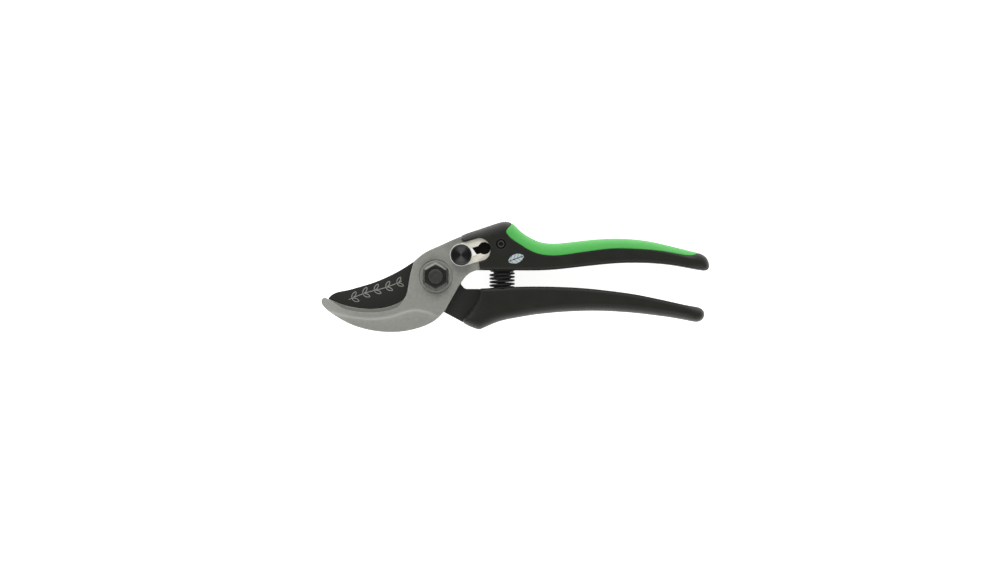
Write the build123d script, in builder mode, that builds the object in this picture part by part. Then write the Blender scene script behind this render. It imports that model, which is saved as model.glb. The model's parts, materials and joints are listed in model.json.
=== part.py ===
from build123d import *
import os
from math import cos, pi, radians, sin

# A bypass pruner lying on its side, jaws closed and locked.
# Frame: origin where the pivot axis meets the surface that the tool lies on, +X along the
# handles, +Y towards the handle with the lock, +Z up through the pivot bolt to its nut.
# Everything is in millimetres.

# ---------------------------------------------------------------- driving dimensions
# Heights up the pivot axis.
HEAD_H = 2.9  # pivot bolt head
WASHER_H = 0.55  # thrust washer between head and blade
FACE_GAP = 0.05  # running gap at each face of the blade
BLADE_T = 3.55
BODY_T = 6.4
BOSS_H = 0.4  # machined boss under the nut
NUT_H = 5.0
BLADE_BACK = HEAD_H + WASHER_H + FACE_GAP
BODY_BACK = BLADE_BACK + BLADE_T + FACE_GAP
BODY_FRONT = BODY_BACK + BODY_T
NUT_BASE = BODY_FRONT + BOSS_H

# Pivot.
BOLT_R = 3.95
BUSH_IN_R = 4.0
BUSH_OUT_R = 5.0
BLADE_BORE_R = 5.05
EAR_R = 18.78  # reach of the blade's ear, which swings in front of the sleeve's back edge
HEAD_AF = 13.0
WASHER_R = 7.6
BOLT_TIP_Z = 20.0
NUT_AF = 13.0
NUT_BEVEL = 1.25  # bevel along each side of its top
BOSS_R = 8.35
GROOVE_W = 0.4  # width and depth of the groove round the boss
BODY_END_X = 38.5  # where the body thins down to its tang

# Handles.
GRIP_T = 17.0  # across a handle at the palm
GRIP_END_T = 14.6  # across a handle at its two ends
GRIP_MID_Z = GRIP_T / 2
UPPER_END_X = 143.4
LOWER_END_X = 140.9
END_R = 3.8  # rounding of the far ends seen from the side
BADGE_AT = (42.0, 9.3)
INLAY_T = 2.2  # thickness of the soft layer on the upper handle
TANG_T = 4.4
FIT_GAP = 0.1  # moulding clearance round a tang

# Lock: a knob that slides along a keyhole plate let into the body.
LOCK_AT = (13.3, 11.3)  # knob centre in the locked position
LOCK_TILT = 16.2  # direction of travel above +X, degrees
LOCK_TRAVEL = 7.2
PLATE_R = 5.9
PLATE_SPAN = 9.6  # between the centres of the two ends of its window
PLATE_TAIL = 19.0  # reach of the tail that the sleeve traps
PLATE_T = 1.0
WINDOW_R = 6.1  # window in the sleeve over the plate
PLATE_SINK = 0.5
SLOT_W = 4.0
KEYHOLE_R = 3.25
KEYHOLE_AT = 12.6
KNOB_R = 5.55
KNOB_H = 4.0
KNOB_STEPS = ((4.3, 0.15), (3.5, 0.3), (2.2, 0.5))  # radius and depth of each turned step
KNOB_SOCKET = 2.4
SLIDER_R = 5.95
TONGUE = ((0, -2.3), (7.9, -2.3), (6.5, 2.0), (0, 2.0))  # its outline, slanted at the end
SLIDER_T = 0.65
STUD_R = 1.5
GROOVE_R = 1.1
CLIP_R = 2.8
CLIP_T = 0.6
CATCH_L = 7.0
CATCH_W = 6.3
CATCH_H = 3.4
PLATE_BACK = BODY_FRONT - PLATE_SINK
PLATE_FRONT = PLATE_BACK + PLATE_T
SLIDER_BACK = PLATE_FRONT + 0.05
KNOB_BACK = SLIDER_BACK + SLIDER_T
CATCH_BACK = BODY_BACK + 0.4
POCKET_ROOF = CATCH_BACK + CATCH_H + 0.6

# Return spring, standing along Y between the handles.
SPRING_X = 34.7
SPRING_R = 6.15  # to the middle of the wire
WIRE_R = 0.6
SPRING_TOP_Y = 2.4
SPRING_FOOT_Y = -8.0
SPRING_TURNS = 5.1
POST_R = 4.6
POST_L = 4.0
SEAT_FACE_R = 5.65  # face of the upper seat
SEAT_R = 7.0
SEAT_Y = 3.5  # where the upper seat meets the sleeve

# Cross screw through the upper handle.
SCREW_AT = (34.1, 17.0)
SCREW_R = 1.5
SCREW_HEAD_R = 2.0
SCREW_HEAD_H = 1.6
SCREW_NUT_AF = 5.5
SCREW_NUT_H = 2.4
SCREW_SINK = 0.5  # head below the face of the sleeve

LOCK_PLANE = Plane(
    origin=(*LOCK_AT, 0),
    x_dir=(cos(radians(LOCK_TILT)), sin(radians(LOCK_TILT)), 0),
    z_dir=(0, 0, 1),
)

os.makedirs("parts", exist_ok=True)


def save(builder, name):
    """Labels a finished piece and writes it as its own STEP file."""
    builder.part.label = name
    export_step(builder.part, f"parts/{name}.step")


# ---------------------------------------------------------------- outlines seen from above
# The upper handle, from the lock to its end.
upper_top = Spline(
    (5.0, 17.9),
    (13.9, 21.4),
    (19.5, 23.7),
    (26.3, 26.1),
    (33.0, 28.3),
    (36.8, 28.9),
    (40.0, 27.9),
    (44.0, 24.3),
    (48.5, 21.1),
    (53.9, 18.5),
    (60.0, 17.4),
    (70.0, 18.0),
    (88.0, 19.8),
    (110.0, 18.8),
    (132.0, 13.6),
    (UPPER_END_X, 9.6),
)
upper_bottom = Spline(
    (5.0, 3.5), (44.0, 3.4), (60.0, 3.8), (83.0, 6.3), (104.0, 7.5), (125.0, 5.6), (UPPER_END_X, 2.6)
)
# The lower handle.
lower_top = Spline(
    (13.0, -6.6), (30.0, -5.9), (54.0, -5.2), (80.0, -6.2), (104.0, -9.0), (LOWER_END_X, -16.7)
)
lower_heel = Line((13.0, -23.1), (23.0, -27.55))
lower_bottom = Spline(
    (22.9, -27.5), (31.5, -24.0), (45.0, -20.5), (80.0, -17.9), (108.0, -19.1), (LOWER_END_X, -24.3)
)
# The hook, from its nose round the outside to the crotch beside the spring.
NOSE = (-57.9, -11.0)
hook_outer = Spline(
    NOSE,
    (-59.3, -11.5),
    (-59.9, -12.8),
    (-59.4, -14.3),
    (-56.8, -16.7),
    (-49.6, -22.1),
    (-36.0, -27.7),
    (-23.5, -29.2),
    (-10.9, -27.3),
    (-1.0, -23.2),
    (4.8, -17.2),
)
# The crest where the face of the hook starts to fall towards its outer edge.
hook_crest = Spline(
    (-54.5, -19.0), (-44.0, -21.1), (-33.5, -22.1), (-22.0, -20.4), (-10.9, -17.5), (-3.4, -19.0),
    (2.4, -20.9)
)


def height_at(curve, x):
    """Y of a curve that runs from left to right, at a given X."""
    low, high = 0.0, 1.0
    for _ in range(40):
        middle = (low + high) / 2
        if curve.position_at(middle).X < x:
            low = middle
        else:
            high = middle
    return curve.position_at(low).Y


def thickness_at(x, end_x):
    """Handle thickness: full at the palm, slimmer at the two ends."""
    return GRIP_END_T + (GRIP_T - GRIP_END_T) * sin(pi * min(max(x / end_x, 0), 1)) ** 0.8


def grip_slice(x, low, high, thickness, low_r, high_r):
    """One slice through a handle, square to X, with its own rounding on each side."""
    with BuildSketch(Plane.YZ.offset(x)) as slice_:
        with Locations(((low + high) / 2, GRIP_MID_Z)):
            Rectangle(high - low, thickness)
        fillet(slice_.vertices().group_by(Axis.X)[0], low_r)
        fillet(slice_.vertices().group_by(Axis.X)[-1], high_r)
    return slice_.sketch


def grip_slices(bottom, top, stations, end_x, low_r, high_r, inset=0.0, top_inset=0.0):
    """Slices at each station, drawn in from the outline by the insets."""
    slices = []
    for x in stations:
        low, high = height_at(bottom, x) + inset, height_at(top, x) - top_inset
        most = 0.46 * (high - low)
        slices.append(
            grip_slice(
                x, low, high, thickness_at(x, end_x) - 2 * top_inset, min(low_r, most), min(high_r, most)
            )
        )
    return slices


UPPER_STATIONS = [6, 12, 18, 24, 29, 33, 36, 39, 42, 46, 51, 57, 64, 73, 84, 97, 110, 122, 134, UPPER_END_X]
CORE_STATIONS = [33, 36, 39, 42, 46, 51, 57, 64, 73, 84, 97, 110, 122, 136]
HEEL_X = 22.9  # lowest corner of the lower handle
LOWER_STATIONS = [HEEL_X, 26, 31, 38, 47, 58, 70, 84, 98, 111, 124, 134, LOWER_END_X]
PALM_R = 6.2  # rounding of the side that meets the palm or the fingers
INSIDE_R = 2.4  # rounding of the side that faces the other handle

# ---------------------------------------------------------------- hook and body casting
with BuildPart() as hook_fall:  # the wedge removed between the crest and the outer edge
    FALL = 2.0  # drop at the cutter's foot, a little outside the hook
    with BuildSketch(Plane.XY.offset(BODY_FRONT - FALL)):
        with BuildLine():
            foot = Spline(
                (-59.0, -19.0), (-51.3, -24.6), (-37.2, -30.6), (-23.5, -32.3), (-9.8, -30.2),
                (0.8, -26.0), (7.5, -22.6)
            )
            Polyline(foot @ 1, (12.0, -24.0), (12.0, -40.0), (-66.0, -40.0), (-66.0, -18.0), foot @ 0)
        make_face()
    with BuildSketch(Plane.XY.offset(BODY_FRONT)) as crest_region:
        with BuildLine():
            add(hook_crest)
            Polyline(
                hook_crest @ 1, (12.0, -21.6), (12.0, -40.0), (-66.0, -40.0), (-66.0, -17.0),
                hook_crest @ 0,
            )
        make_face()
    loft(ruled=True)
    extrude(crest_region.sketch, amount=2)

with BuildPart() as hook_grind:  # the narrow bevel ground along the inner edge of the hook
    with BuildSketch(Plane.XY.offset(BODY_FRONT - 1.6)):
        with BuildLine():
            grind_foot = Spline(
                (-60.5, -9.6), (-48.2, -14.2), (-41.0, -15.7), (-34.0, -16.2), (-27.0, -15.5),
                (-21.5, -13.5), (-17.4, -9.8)
            )
            Polyline(
                grind_foot @ 1, (-16.6, -6.0), (-16.6, 0.0), (-62.0, 0.0), (-62.0, -9.0),
                grind_foot @ 0,
            )
        make_face()
    with BuildSketch(Plane.XY.offset(BODY_FRONT)) as grind_region:
        with BuildLine():
            grind_crest = Spline(
                (-60.9, -11.9), (-48.7, -16.4), (-41.0, -18.1), (-34.0, -18.6), (-26.6, -17.9),
                (-20.2, -15.6), (-15.4, -11.0)
            )
            Polyline(
                grind_crest @ 1, (-13.8, -6.0), (-14.4, 0.0), (-62.0, 0.0), (-62.0, -11.4),
                grind_crest @ 0,
            )
        make_face()
    loft(ruled=True)
    extrude(grind_region.sketch, amount=2)

with BuildPart() as hook_body:
    with BuildSketch(Plane.XY.offset(BODY_BACK)):
        with BuildLine():
            add(hook_outer)
            crotch_run = Line(hook_outer @ 1, (11.9, -5.2))
            crotch = Spline(crotch_run @ 1, (13.3, -3.0), (16.8, 1.1), (19.6, 2.7), (23.3, 3.7))
            Polyline(
                crotch @ 1, (23.3, 6.3), (BODY_END_X, 6.3), (BODY_END_X, 23.8), (14.6, 19.8),
                (13.6, 21.2),
            )
            crown = Spline((13.6, 21.2), (0.0, 16.0), (-6.4, 12.5), (-11.4, 7.8))
            throat = Spline(
                crown @ 1,
                (-13.9, 0.8),
                (-15.2, -6.0),
                (-17.2, -11.2),
                (-21.0, -14.1),
                (-27.0, -16.3),
                (-34.0, -17.0),
                (-41.0, -16.5),
                (-48.5, -14.9),
                (-57.0, -11.4),
            )
            Line(throat @ 1, NOSE)
        make_face()
    extrude(amount=BODY_T)
    # Tang that runs down inside the upper handle.
    with BuildSketch(Plane.XY.offset(BODY_BACK)):
        with BuildLine():
            rim = Spline((24.0, 20.6), (34.0, 23.4), (46.0, 17.6), (60.0, 13.1), (84.0, 15.0), (104.0, 14.8))
            keel = Spline((24.0, 6.3), (50.0, 6.3), (84.0, 9.4), (104.0, 10.4))
            Line(rim @ 0, keel @ 0)
            Line(rim @ 1, keel @ 1)
        make_face()
    extrude(amount=TANG_T)
    body_blank = hook_body.part
    add(hook_fall.part, mode=Mode.SUBTRACT)
    add(hook_grind.part, mode=Mode.SUBTRACT)
    # Boss, pivot bore and screw hole.
    with Locations((0, 0, BODY_FRONT)):
        Cylinder(BOSS_R, BOSS_H, align=(Align.CENTER, Align.CENTER, Align.MIN))
    with BuildSketch(Plane.XY.offset(BODY_FRONT)):
        Circle(BOSS_R + GROOVE_W)
        Circle(BOSS_R, mode=Mode.SUBTRACT)
    extrude(amount=-GROOVE_W, mode=Mode.SUBTRACT)
    with Locations((0, 0, NUT_BASE)):
        Hole(BUSH_OUT_R)
    with Locations((*SCREW_AT, BODY_FRONT)):
        Hole(SCREW_R + 0.1)
    # Seat of the lock plate, keyhole behind it, and the pocket that guides the catch.
    with BuildSketch(LOCK_PLANE.offset(PLATE_BACK)):
        with Locations((PLATE_TAIL / 2, 0)):
            SlotCenterToCenter(PLATE_TAIL, 2 * (PLATE_R + FIT_GAP))
    extrude(amount=PLATE_T, mode=Mode.SUBTRACT)
    with BuildSketch(LOCK_PLANE.offset(BODY_BACK)):
        with Locations((KEYHOLE_AT / 2, 0)):
            SlotCenterToCenter(KEYHOLE_AT, SLOT_W + 0.4)
        with Locations((KEYHOLE_AT, 0)):
            Circle(KEYHOLE_R + 0.2)
    extrude(amount=BODY_T, mode=Mode.SUBTRACT)
    with BuildSketch(LOCK_PLANE.offset(BODY_BACK)):
        with Locations((LOCK_TRAVEL / 2, 0)):
            Rectangle(CATCH_L + LOCK_TRAVEL + 0.3, CATCH_W + 0.2)
    extrude(amount=POCKET_ROOF - BODY_BACK, mode=Mode.SUBTRACT)
save(hook_body, "hook_body")


# ---------------------------------------------------------------- pivot
with BuildPart() as pivot_bolt:
    with BuildSketch():
        RegularPolygon(HEAD_AF / 2, 6, major_radius=False, rotation=90)
    extrude(amount=HEAD_H)
    chamfer(pivot_bolt.edges().group_by(Axis.Z)[0], 0.4)
    with Locations((0, 0, HEAD_H)):
        Cylinder(BOLT_R, BOLT_TIP_Z - HEAD_H, align=(Align.CENTER, Align.CENTER, Align.MIN))
    fillet(pivot_bolt.edges().group_by(Axis.Z)[-1], 1.2)
save(pivot_bolt, "pivot_bolt")

with BuildPart() as pivot_washer:
    with BuildSketch(Plane.XY.offset(HEAD_H)):
        Circle(WASHER_R)
        Circle(BUSH_IN_R, mode=Mode.SUBTRACT)
    extrude(amount=WASHER_H)
save(pivot_washer, "pivot_washer")

with BuildPart() as pivot_bushing:
    with BuildSketch(Plane.XY.offset(HEAD_H + WASHER_H)):
        Circle(BUSH_OUT_R)
        Circle(BUSH_IN_R, mode=Mode.SUBTRACT)
    extrude(amount=NUT_BASE - HEAD_H - WASHER_H)
save(pivot_bushing, "pivot_bushing")

with BuildPart() as pivot_nut:
    with BuildSketch(Plane.XY.offset(NUT_BASE)):
        RegularPolygon(NUT_AF / 2, 6, major_radius=False, rotation=90)
        Circle(BOLT_R, mode=Mode.SUBTRACT)
    extrude(amount=NUT_H)
    chamfer(pivot_nut.faces().sort_by(Axis.Z)[-1].outer_wire().edges(), NUT_BEVEL)
save(pivot_nut, "pivot_nut")

# ---------------------------------------------------------------- blade with its tang
with BuildPart() as blade_bevel:  # the wedge ground off behind the cutting edge
    LAND = 0.25  # thickness left at the edge itself
    with BuildSketch(Plane.XY.offset(BLADE_BACK)):
        with BuildLine():
            heel_line = Spline(
                (-55.4, -10.3), (-49.0, -11.4), (-42.0, -12.9), (-36.0, -13.5), (-29.5, -13.2),
                (-23.0, -11.2), (-17.0, -7.4)
            )
            Polyline(
                heel_line @ 1, (-14.0, -12.0), (-14.0, -30.0), (-62.0, -30.0), (-62.0, -10.0),
                heel_line @ 0,
            )
        make_face()
    with BuildSketch(Plane.XY.offset(BLADE_BACK + BLADE_T - LAND)):
        with BuildLine():
            cut_line = Spline(
                (-56.6, -12.4), (-50.5, -16.1), (-43.0, -18.5), (-36.0, -19.2), (-29.5, -18.9),
                (-23.0, -16.9), (-15.5, -12.4)
            )
            Polyline(
                cut_line @ 1, (-14.0, -13.0), (-14.0, -30.0), (-62.0, -30.0), (-62.0, -12.4),
                cut_line @ 0,
            )
        make_face()
    loft(ruled=True)

with BuildPart() as blade:
    with BuildSketch(Plane.XY.offset(BLADE_BACK)):
        with BuildLine():
            cutting_edge = Spline(
                (-56.6, -12.2), (-50.5, -15.9), (-43.0, -18.3), (-36.0, -19.0), (-29.5, -18.7),
                (-23.0, -16.7), (-15.5, -12.2)
            )
            Polyline(cutting_edge @ 1, (-8.0, -13.6), (0.0, -16.2), (4.4, -18.5), (14.0, -23.6))
            tang_low = Spline((14.0, -23.6), (24.0, -22.6), (46.0, -17.6), (80.0, -15.2), (110.0, -16.6))
            tang_high = Spline((110.0, -12.8), (80.0, -10.4), (50.0, -10.2), (24.5, -9.9))
            Line(tang_low @ 1, tang_high @ 0)
            tang_neck = Polyline(
                tang_high @ 1, (23.2, -6.5), (15.9, -6.5), (14.6, -5.9), (13.2, -4.2), (12.4, 0.0),
                (13.4, 4.0), (17.0, 7.9),
            )
            ear = RadiusArc(tang_neck @ 1, (9.0, 16.48), -EAR_R)
            spine = Spline(
                ear @ 1,
                (0.0, 13.4),
                (-6.5, 10.8),
                (-11.7, 7.8),
                (-19.0, 3.1),
                (-26.0, -0.2),
                (-34.0, -3.5),
                (-41.1, -5.7),
                (-47.6, -7.5),
                (-53.4, -8.9),
                (-56.3, -11.1),
            )
            Line(spine @ 1, cutting_edge @ 0)
        make_face()
    extrude(amount=BLADE_T)
    blade_blank = blade.part
    add(blade_bevel.part, mode=Mode.SUBTRACT)
    with Locations((0, 0, BODY_BACK)):
        Hole(BLADE_BORE_R)
    # Notch that the lock's catch faces when the jaws are shut.
    with BuildSketch(LOCK_PLANE.offset(BLADE_BACK)):
        with Locations((5.0, 0)):
            SlotCenterToCenter(10.0, CATCH_W + 0.4)
    extrude(amount=BLADE_T, mode=Mode.SUBTRACT)
save(blade, "blade")



def rounded_end(end_x, plan_curve):
    """The space on the near side of a rounded handle end, to trim a handle with."""
    low, high = plan_curve @ 1, plan_curve @ 0
    side = GRIP_END_T / 2
    with BuildPart() as keep:
        with BuildSketch(Plane.XY.offset(-2)):
            with BuildLine():
                add(plan_curve)
                Polyline(low, (low.X, -60), (0, -60), (0, 60), (high.X, 60), high)
            make_face()
        extrude(amount=GRIP_T + 4)
        with BuildSketch(Plane.XZ):
            with BuildLine():
                Polyline(
                    (end_x - END_R, GRIP_MID_Z + side),
                    (end_x - END_R, GRIP_T + 2),
                    (0, GRIP_T + 2),
                    (0, -2),
                    (end_x - END_R, -2),
                    (end_x - END_R, GRIP_MID_Z - side),
                )
                RadiusArc((end_x - END_R, GRIP_MID_Z - side), (end_x, GRIP_MID_Z - side + END_R), -END_R)
                Line((end_x, GRIP_MID_Z - side + END_R), (end_x, GRIP_MID_Z + side - END_R))
                RadiusArc((end_x, GRIP_MID_Z + side - END_R), (end_x - END_R, GRIP_MID_Z + side), -END_R)
            make_face()
        extrude(amount=60, both=True, mode=Mode.INTERSECT)
    return keep.part


upper_tip = Spline(
    (136.5, 13.4), (139.6, 11.3), (141.9, 9.2), (143.1, 6.7), (143.2, 4.8), (142.2, 3.5),
    (140.4, 3.0), (137.5, 2.4)
)
lower_tip = Spline(
    (135.0, -14.9),
    (138.2, -16.2),
    (140.2, -18.0),
    (140.8, -20.3),
    (139.8, -22.6),
    (137.3, -23.9),
    (134.0, -24.2),
)

# ---------------------------------------------------------------- upper handle, whole shape
with BuildPart() as upper_form:
    for slice_ in grip_slices(upper_bottom, upper_top, UPPER_STATIONS, UPPER_END_X, INSIDE_R, PALM_R):
        add(slice_)
    loft()
    add(rounded_end(UPPER_END_X, upper_tip), mode=Mode.INTERSECT)

with BuildPart() as upper_core:  # the same shape under the soft layer
    for slice_ in grip_slices(
        upper_bottom, upper_top, CORE_STATIONS, UPPER_END_X, INSIDE_R, PALM_R - INLAY_T, 0, INLAY_T
    ):
        add(slice_)
    loft()

# ---------------------------------------------------------------- soft inlay of the upper handle
with BuildPart() as soft_grip_inlay:
    with BuildSketch(Plane.XY.offset(-2)):
        with BuildLine():
            inlay_edge = Spline(
                (36.6, 23.1),
                (38.3, 20.9),
                (43.1, 17.3),
                (47.9, 14.3),
                (52.7, 12.1),
                (58.5, 11.0),
                (64.5, 11.0),
                (71.4, 11.9),
                (80.5, 13.2),
                (92.0, 14.5),
                (104.0, 14.4),
                (118.7, 13.1),
                (130.0, 11.1),
                (135.2, 11.2),
            )
            Polyline(
                inlay_edge @ 1, (138.5, 13.5), (138.5, 36.0), (42.0, 36.0), (39.6, 27.4),
                inlay_edge @ 0,
            )
        make_face()
    extrude(amount=22)
    add(upper_form.part, mode=Mode.INTERSECT)
    add(upper_core.part, mode=Mode.SUBTRACT)
save(soft_grip_inlay, "soft_grip_inlay")

# ---------------------------------------------------------------- lock
with BuildPart() as plate_room:  # the space that the plate fills inside the sleeve
    with BuildSketch(LOCK_PLANE.offset(PLATE_BACK)):
        with Locations((PLATE_TAIL / 2, 0)):
            SlotCenterToCenter(PLATE_TAIL, 2 * PLATE_R)
    extrude(amount=PLATE_T)

with BuildPart() as lock_plate:
    with BuildSketch(LOCK_PLANE.offset(PLATE_BACK)):
        with Locations((PLATE_TAIL / 2, 0)):
            SlotCenterToCenter(PLATE_TAIL, 2 * PLATE_R)
        with Locations((KEYHOLE_AT / 2, 0)):
            SlotCenterToCenter(KEYHOLE_AT, SLOT_W, mode=Mode.SUBTRACT)
        with Locations((KEYHOLE_AT, 0)):
            Circle(KEYHOLE_R, mode=Mode.SUBTRACT)
    extrude(amount=PLATE_T)
    with Locations((*SCREW_AT, PLATE_FRONT)):
        Hole(SCREW_R + 0.1)
save(lock_plate, "lock_plate")

with BuildPart() as lock_slider:
    with BuildSketch(LOCK_PLANE.offset(SLIDER_BACK)):
        Circle(SLIDER_R)
        Polygon(*TONGUE, align=None)
        Circle(STUD_R, mode=Mode.SUBTRACT)
    extrude(amount=SLIDER_T)
save(lock_slider, "lock_slider")

with BuildPart() as lock_knob:
    with BuildSketch(LOCK_PLANE.offset(KNOB_BACK)):
        Circle(KNOB_R)
    extrude(amount=KNOB_H)
    knob_rim = lock_knob.faces().sort_by(Axis.Z)[-1].edges()
    fillet(knob_rim, 0.7)
    # Turned steps that fall towards the middle of the face.
    for radius, depth in KNOB_STEPS:
        with BuildSketch(LOCK_PLANE.offset(KNOB_BACK + KNOB_H)):
            Circle(radius)
        extrude(amount=-depth, mode=Mode.SUBTRACT)
    with BuildSketch(LOCK_PLANE.offset(KNOB_BACK)):
        Circle(STUD_R)
    extrude(amount=KNOB_SOCKET, mode=Mode.SUBTRACT)
save(lock_knob, "lock_knob")

with BuildPart() as lock_catch:
    with BuildSketch(LOCK_PLANE.offset(CATCH_BACK)) as catch_shape:
        Rectangle(CATCH_L, CATCH_W)
        fillet(catch_shape.vertices(), 0.8)
    extrude(amount=CATCH_H)
    with BuildSketch(LOCK_PLANE.offset(CATCH_BACK)):
        Circle(STUD_R)
    extrude(amount=CATCH_H, mode=Mode.SUBTRACT)
    with BuildSketch(LOCK_PLANE.offset(CATCH_BACK)):
        Circle(CLIP_R)
    extrude(amount=CLIP_T, mode=Mode.SUBTRACT)
save(lock_catch, "lock_catch")

with BuildPart() as lock_stud:
    with BuildSketch(LOCK_PLANE.offset(CATCH_BACK)):
        Circle(STUD_R)
    extrude(amount=KNOB_BACK + KNOB_SOCKET - CATCH_BACK)
    # Groove for the clip.
    with BuildSketch(LOCK_PLANE.offset(CATCH_BACK + 0.1)):
        Circle(STUD_R)
        Circle(GROOVE_R, mode=Mode.SUBTRACT)
    extrude(amount=CLIP_T - 0.1, mode=Mode.SUBTRACT)
save(lock_stud, "lock_stud")

with BuildPart() as lock_retaining_clip:
    with BuildSketch(LOCK_PLANE.offset(CATCH_BACK + 0.1)):
        Circle(CLIP_R - 0.1)
        Circle(GROOVE_R, mode=Mode.SUBTRACT)
        with Locations((-CLIP_R, 0)):
            Rectangle(2 * CLIP_R, 1.6, mode=Mode.SUBTRACT)
    extrude(amount=CLIP_T - 0.1)
save(lock_retaining_clip, "lock_retaining_clip")

with BuildPart() as lock_spring_washer:
    with BuildSketch(LOCK_PLANE.offset(CATCH_BACK + CATCH_H)):
        Circle(CATCH_W / 2 - 0.2)
        Circle(STUD_R + 0.05, mode=Mode.SUBTRACT)
    extrude(amount=0.5)
save(lock_spring_washer, "lock_spring_washer")

# ---------------------------------------------------------------- return spring and its seats
with BuildPart() as spring_upper_seat:
    with BuildSketch(Plane((SPRING_X, SPRING_TOP_Y, GRIP_MID_Z), z_dir=(0, 1, 0))):
        Circle(SEAT_FACE_R)
    with BuildSketch(Plane((SPRING_X, SEAT_Y, GRIP_MID_Z), z_dir=(0, 1, 0))):
        Circle(SEAT_R)
    loft()
    with BuildSketch(Plane((SPRING_X, SEAT_Y, GRIP_MID_Z), z_dir=(0, 1, 0))):
        Circle(SEAT_R)
    extrude(amount=0.8)
    with BuildSketch(Plane((SPRING_X, SPRING_TOP_Y - POST_L, GRIP_MID_Z), z_dir=(0, 1, 0))):
        Circle(POST_R)
    extrude(amount=POST_L)
    chamfer(spring_upper_seat.edges().group_by(Axis.Y)[0], 0.6)
save(spring_upper_seat, "spring_upper_seat")

with BuildPart() as spring_lower_seat:
    with BuildSketch(Plane((SPRING_X, SPRING_FOOT_Y, GRIP_MID_Z), z_dir=(0, -1, 0))):
        Circle(SEAT_R)
    extrude(amount=1.5)
    with BuildSketch(Plane((SPRING_X, SPRING_FOOT_Y, GRIP_MID_Z), z_dir=(0, 1, 0))):
        Circle(POST_R)
    extrude(amount=POST_L)
    chamfer(spring_lower_seat.edges().group_by(Axis.Y)[-1], 0.6)
save(spring_lower_seat, "spring_lower_seat")

with BuildPart() as return_spring:
    coil_height = SPRING_TOP_Y - SPRING_FOOT_Y - 2 * WIRE_R
    with BuildLine():
        coil = Helix(
            pitch=coil_height / SPRING_TURNS,
            height=coil_height,
            radius=SPRING_R,
            center=(SPRING_X, SPRING_FOOT_Y + WIRE_R, GRIP_MID_Z),
            direction=(0, 1, 0),
        )
    with BuildSketch(Plane(origin=coil @ 0, z_dir=coil % 0)):
        Circle(WIRE_R)
    sweep(path=coil, is_frenet=True)
save(return_spring, "return_spring")

# ---------------------------------------------------------------- cross screw and its nut
SCREW_FACE = GRIP_MID_Z + thickness_at(SCREW_AT[0], UPPER_END_X) / 2
SCREW_TOP = SCREW_FACE - SCREW_SINK
SCREW_TAIL = GRIP_T - SCREW_FACE + SCREW_SINK
with BuildPart() as handle_screw:
    with BuildSketch(Plane.XY.offset(SCREW_TOP - SCREW_HEAD_H)):
        with Locations(SCREW_AT):
            Circle(SCREW_HEAD_R)
    extrude(amount=SCREW_HEAD_H)
    fillet(handle_screw.edges().group_by(Axis.Z)[-1], 0.35)
    with BuildSketch(Plane.XY.offset(SCREW_TOP)):
        with Locations(SCREW_AT):
            RegularPolygon(1.05, 6, major_radius=False)
    extrude(amount=-1.1, mode=Mode.SUBTRACT)
    with BuildSketch(Plane.XY.offset(SCREW_TAIL)):
        with Locations(SCREW_AT):
            Circle(SCREW_R)
    extrude(amount=SCREW_TOP - SCREW_HEAD_H - SCREW_TAIL)
save(handle_screw, "handle_screw")

with BuildPart() as handle_nut:
    with BuildSketch(Plane.XY.offset(SCREW_TAIL)):
        with Locations(SCREW_AT):
            RegularPolygon(SCREW_NUT_AF / 2, 6, major_radius=False)
            Circle(SCREW_R, mode=Mode.SUBTRACT)
    extrude(amount=SCREW_NUT_H)
save(handle_nut, "handle_nut")

# ---------------------------------------------------------------- upper handle sleeve
with BuildPart() as handle_badge:  # a plain leaf let into the face of the sleeve
    with BuildSketch(Plane((*BADGE_AT, SCREW_FACE - 0.4))):
        with BuildLine():
            Spline((-4.3, -1.0), (-1.8, 1.9), (1.4, 2.2), (4.3, 0.9))
            Spline((-4.3, -1.0), (-1.0, -2.0), (2.0, -1.2), (4.3, 0.9))
        make_face()
    extrude(amount=2)
    add(upper_form.part, mode=Mode.INTERSECT)
save(handle_badge, "handle_badge")

with BuildPart() as upper_handle_sleeve:
    add(upper_form.part)
    add(soft_grip_inlay.part, mode=Mode.SUBTRACT)
    # Front of the sleeve: it ends behind the lock on the front face and further back behind.
    with BuildSketch(Plane.XY.offset(BODY_BACK)):
        with BuildLine():
            Polyline(
                (0, 40), (13.0, 40), (13.1, 20.9), (13.5, 19.5), (15.4, 18.5), (22.0, 14.0),
                (22.6, 8.2), (22.8, 6.4), (23.4, 3.4), (23.4, -6), (0, -6), (0, 40),
            )
        make_face()
    extrude(amount=14, mode=Mode.SUBTRACT)
    with BuildSketch(LOCK_PLANE.offset(PLATE_FRONT)):
        with Locations((PLATE_SPAN / 2, 0)):
            SlotCenterToCenter(PLATE_SPAN, 2 * WINDOW_R)
    extrude(amount=8, mode=Mode.SUBTRACT)
    with BuildSketch(Plane.XY.offset(BODY_BACK)):
        Polygon((0, 40), (13.0, 40), (13.1, 20.9), (15.4, 18.8), (12.0, 0), (0, 0), align=None)
        Circle(EAR_R + 0.6)
    extrude(amount=-10, mode=Mode.SUBTRACT)
    add(body_blank, mode=Mode.SUBTRACT)
    add(plate_room.part, mode=Mode.SUBTRACT)
    add(spring_upper_seat.part, mode=Mode.SUBTRACT)
    add(handle_badge.part, mode=Mode.SUBTRACT)
    # Counterbore, screw hole and the pocket for the nut.
    with Locations((*SCREW_AT, SCREW_FACE)):
        CounterBoreHole(SCREW_R + 0.1, SCREW_HEAD_R + 0.5, SCREW_SINK + SCREW_HEAD_H)
    with BuildSketch(Plane.XY.offset(SCREW_TAIL + SCREW_NUT_H)):
        with Locations(SCREW_AT):
            RegularPolygon(SCREW_NUT_AF / 2 + 0.05, 6, major_radius=False)
    extrude(amount=-6, mode=Mode.SUBTRACT)
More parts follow.
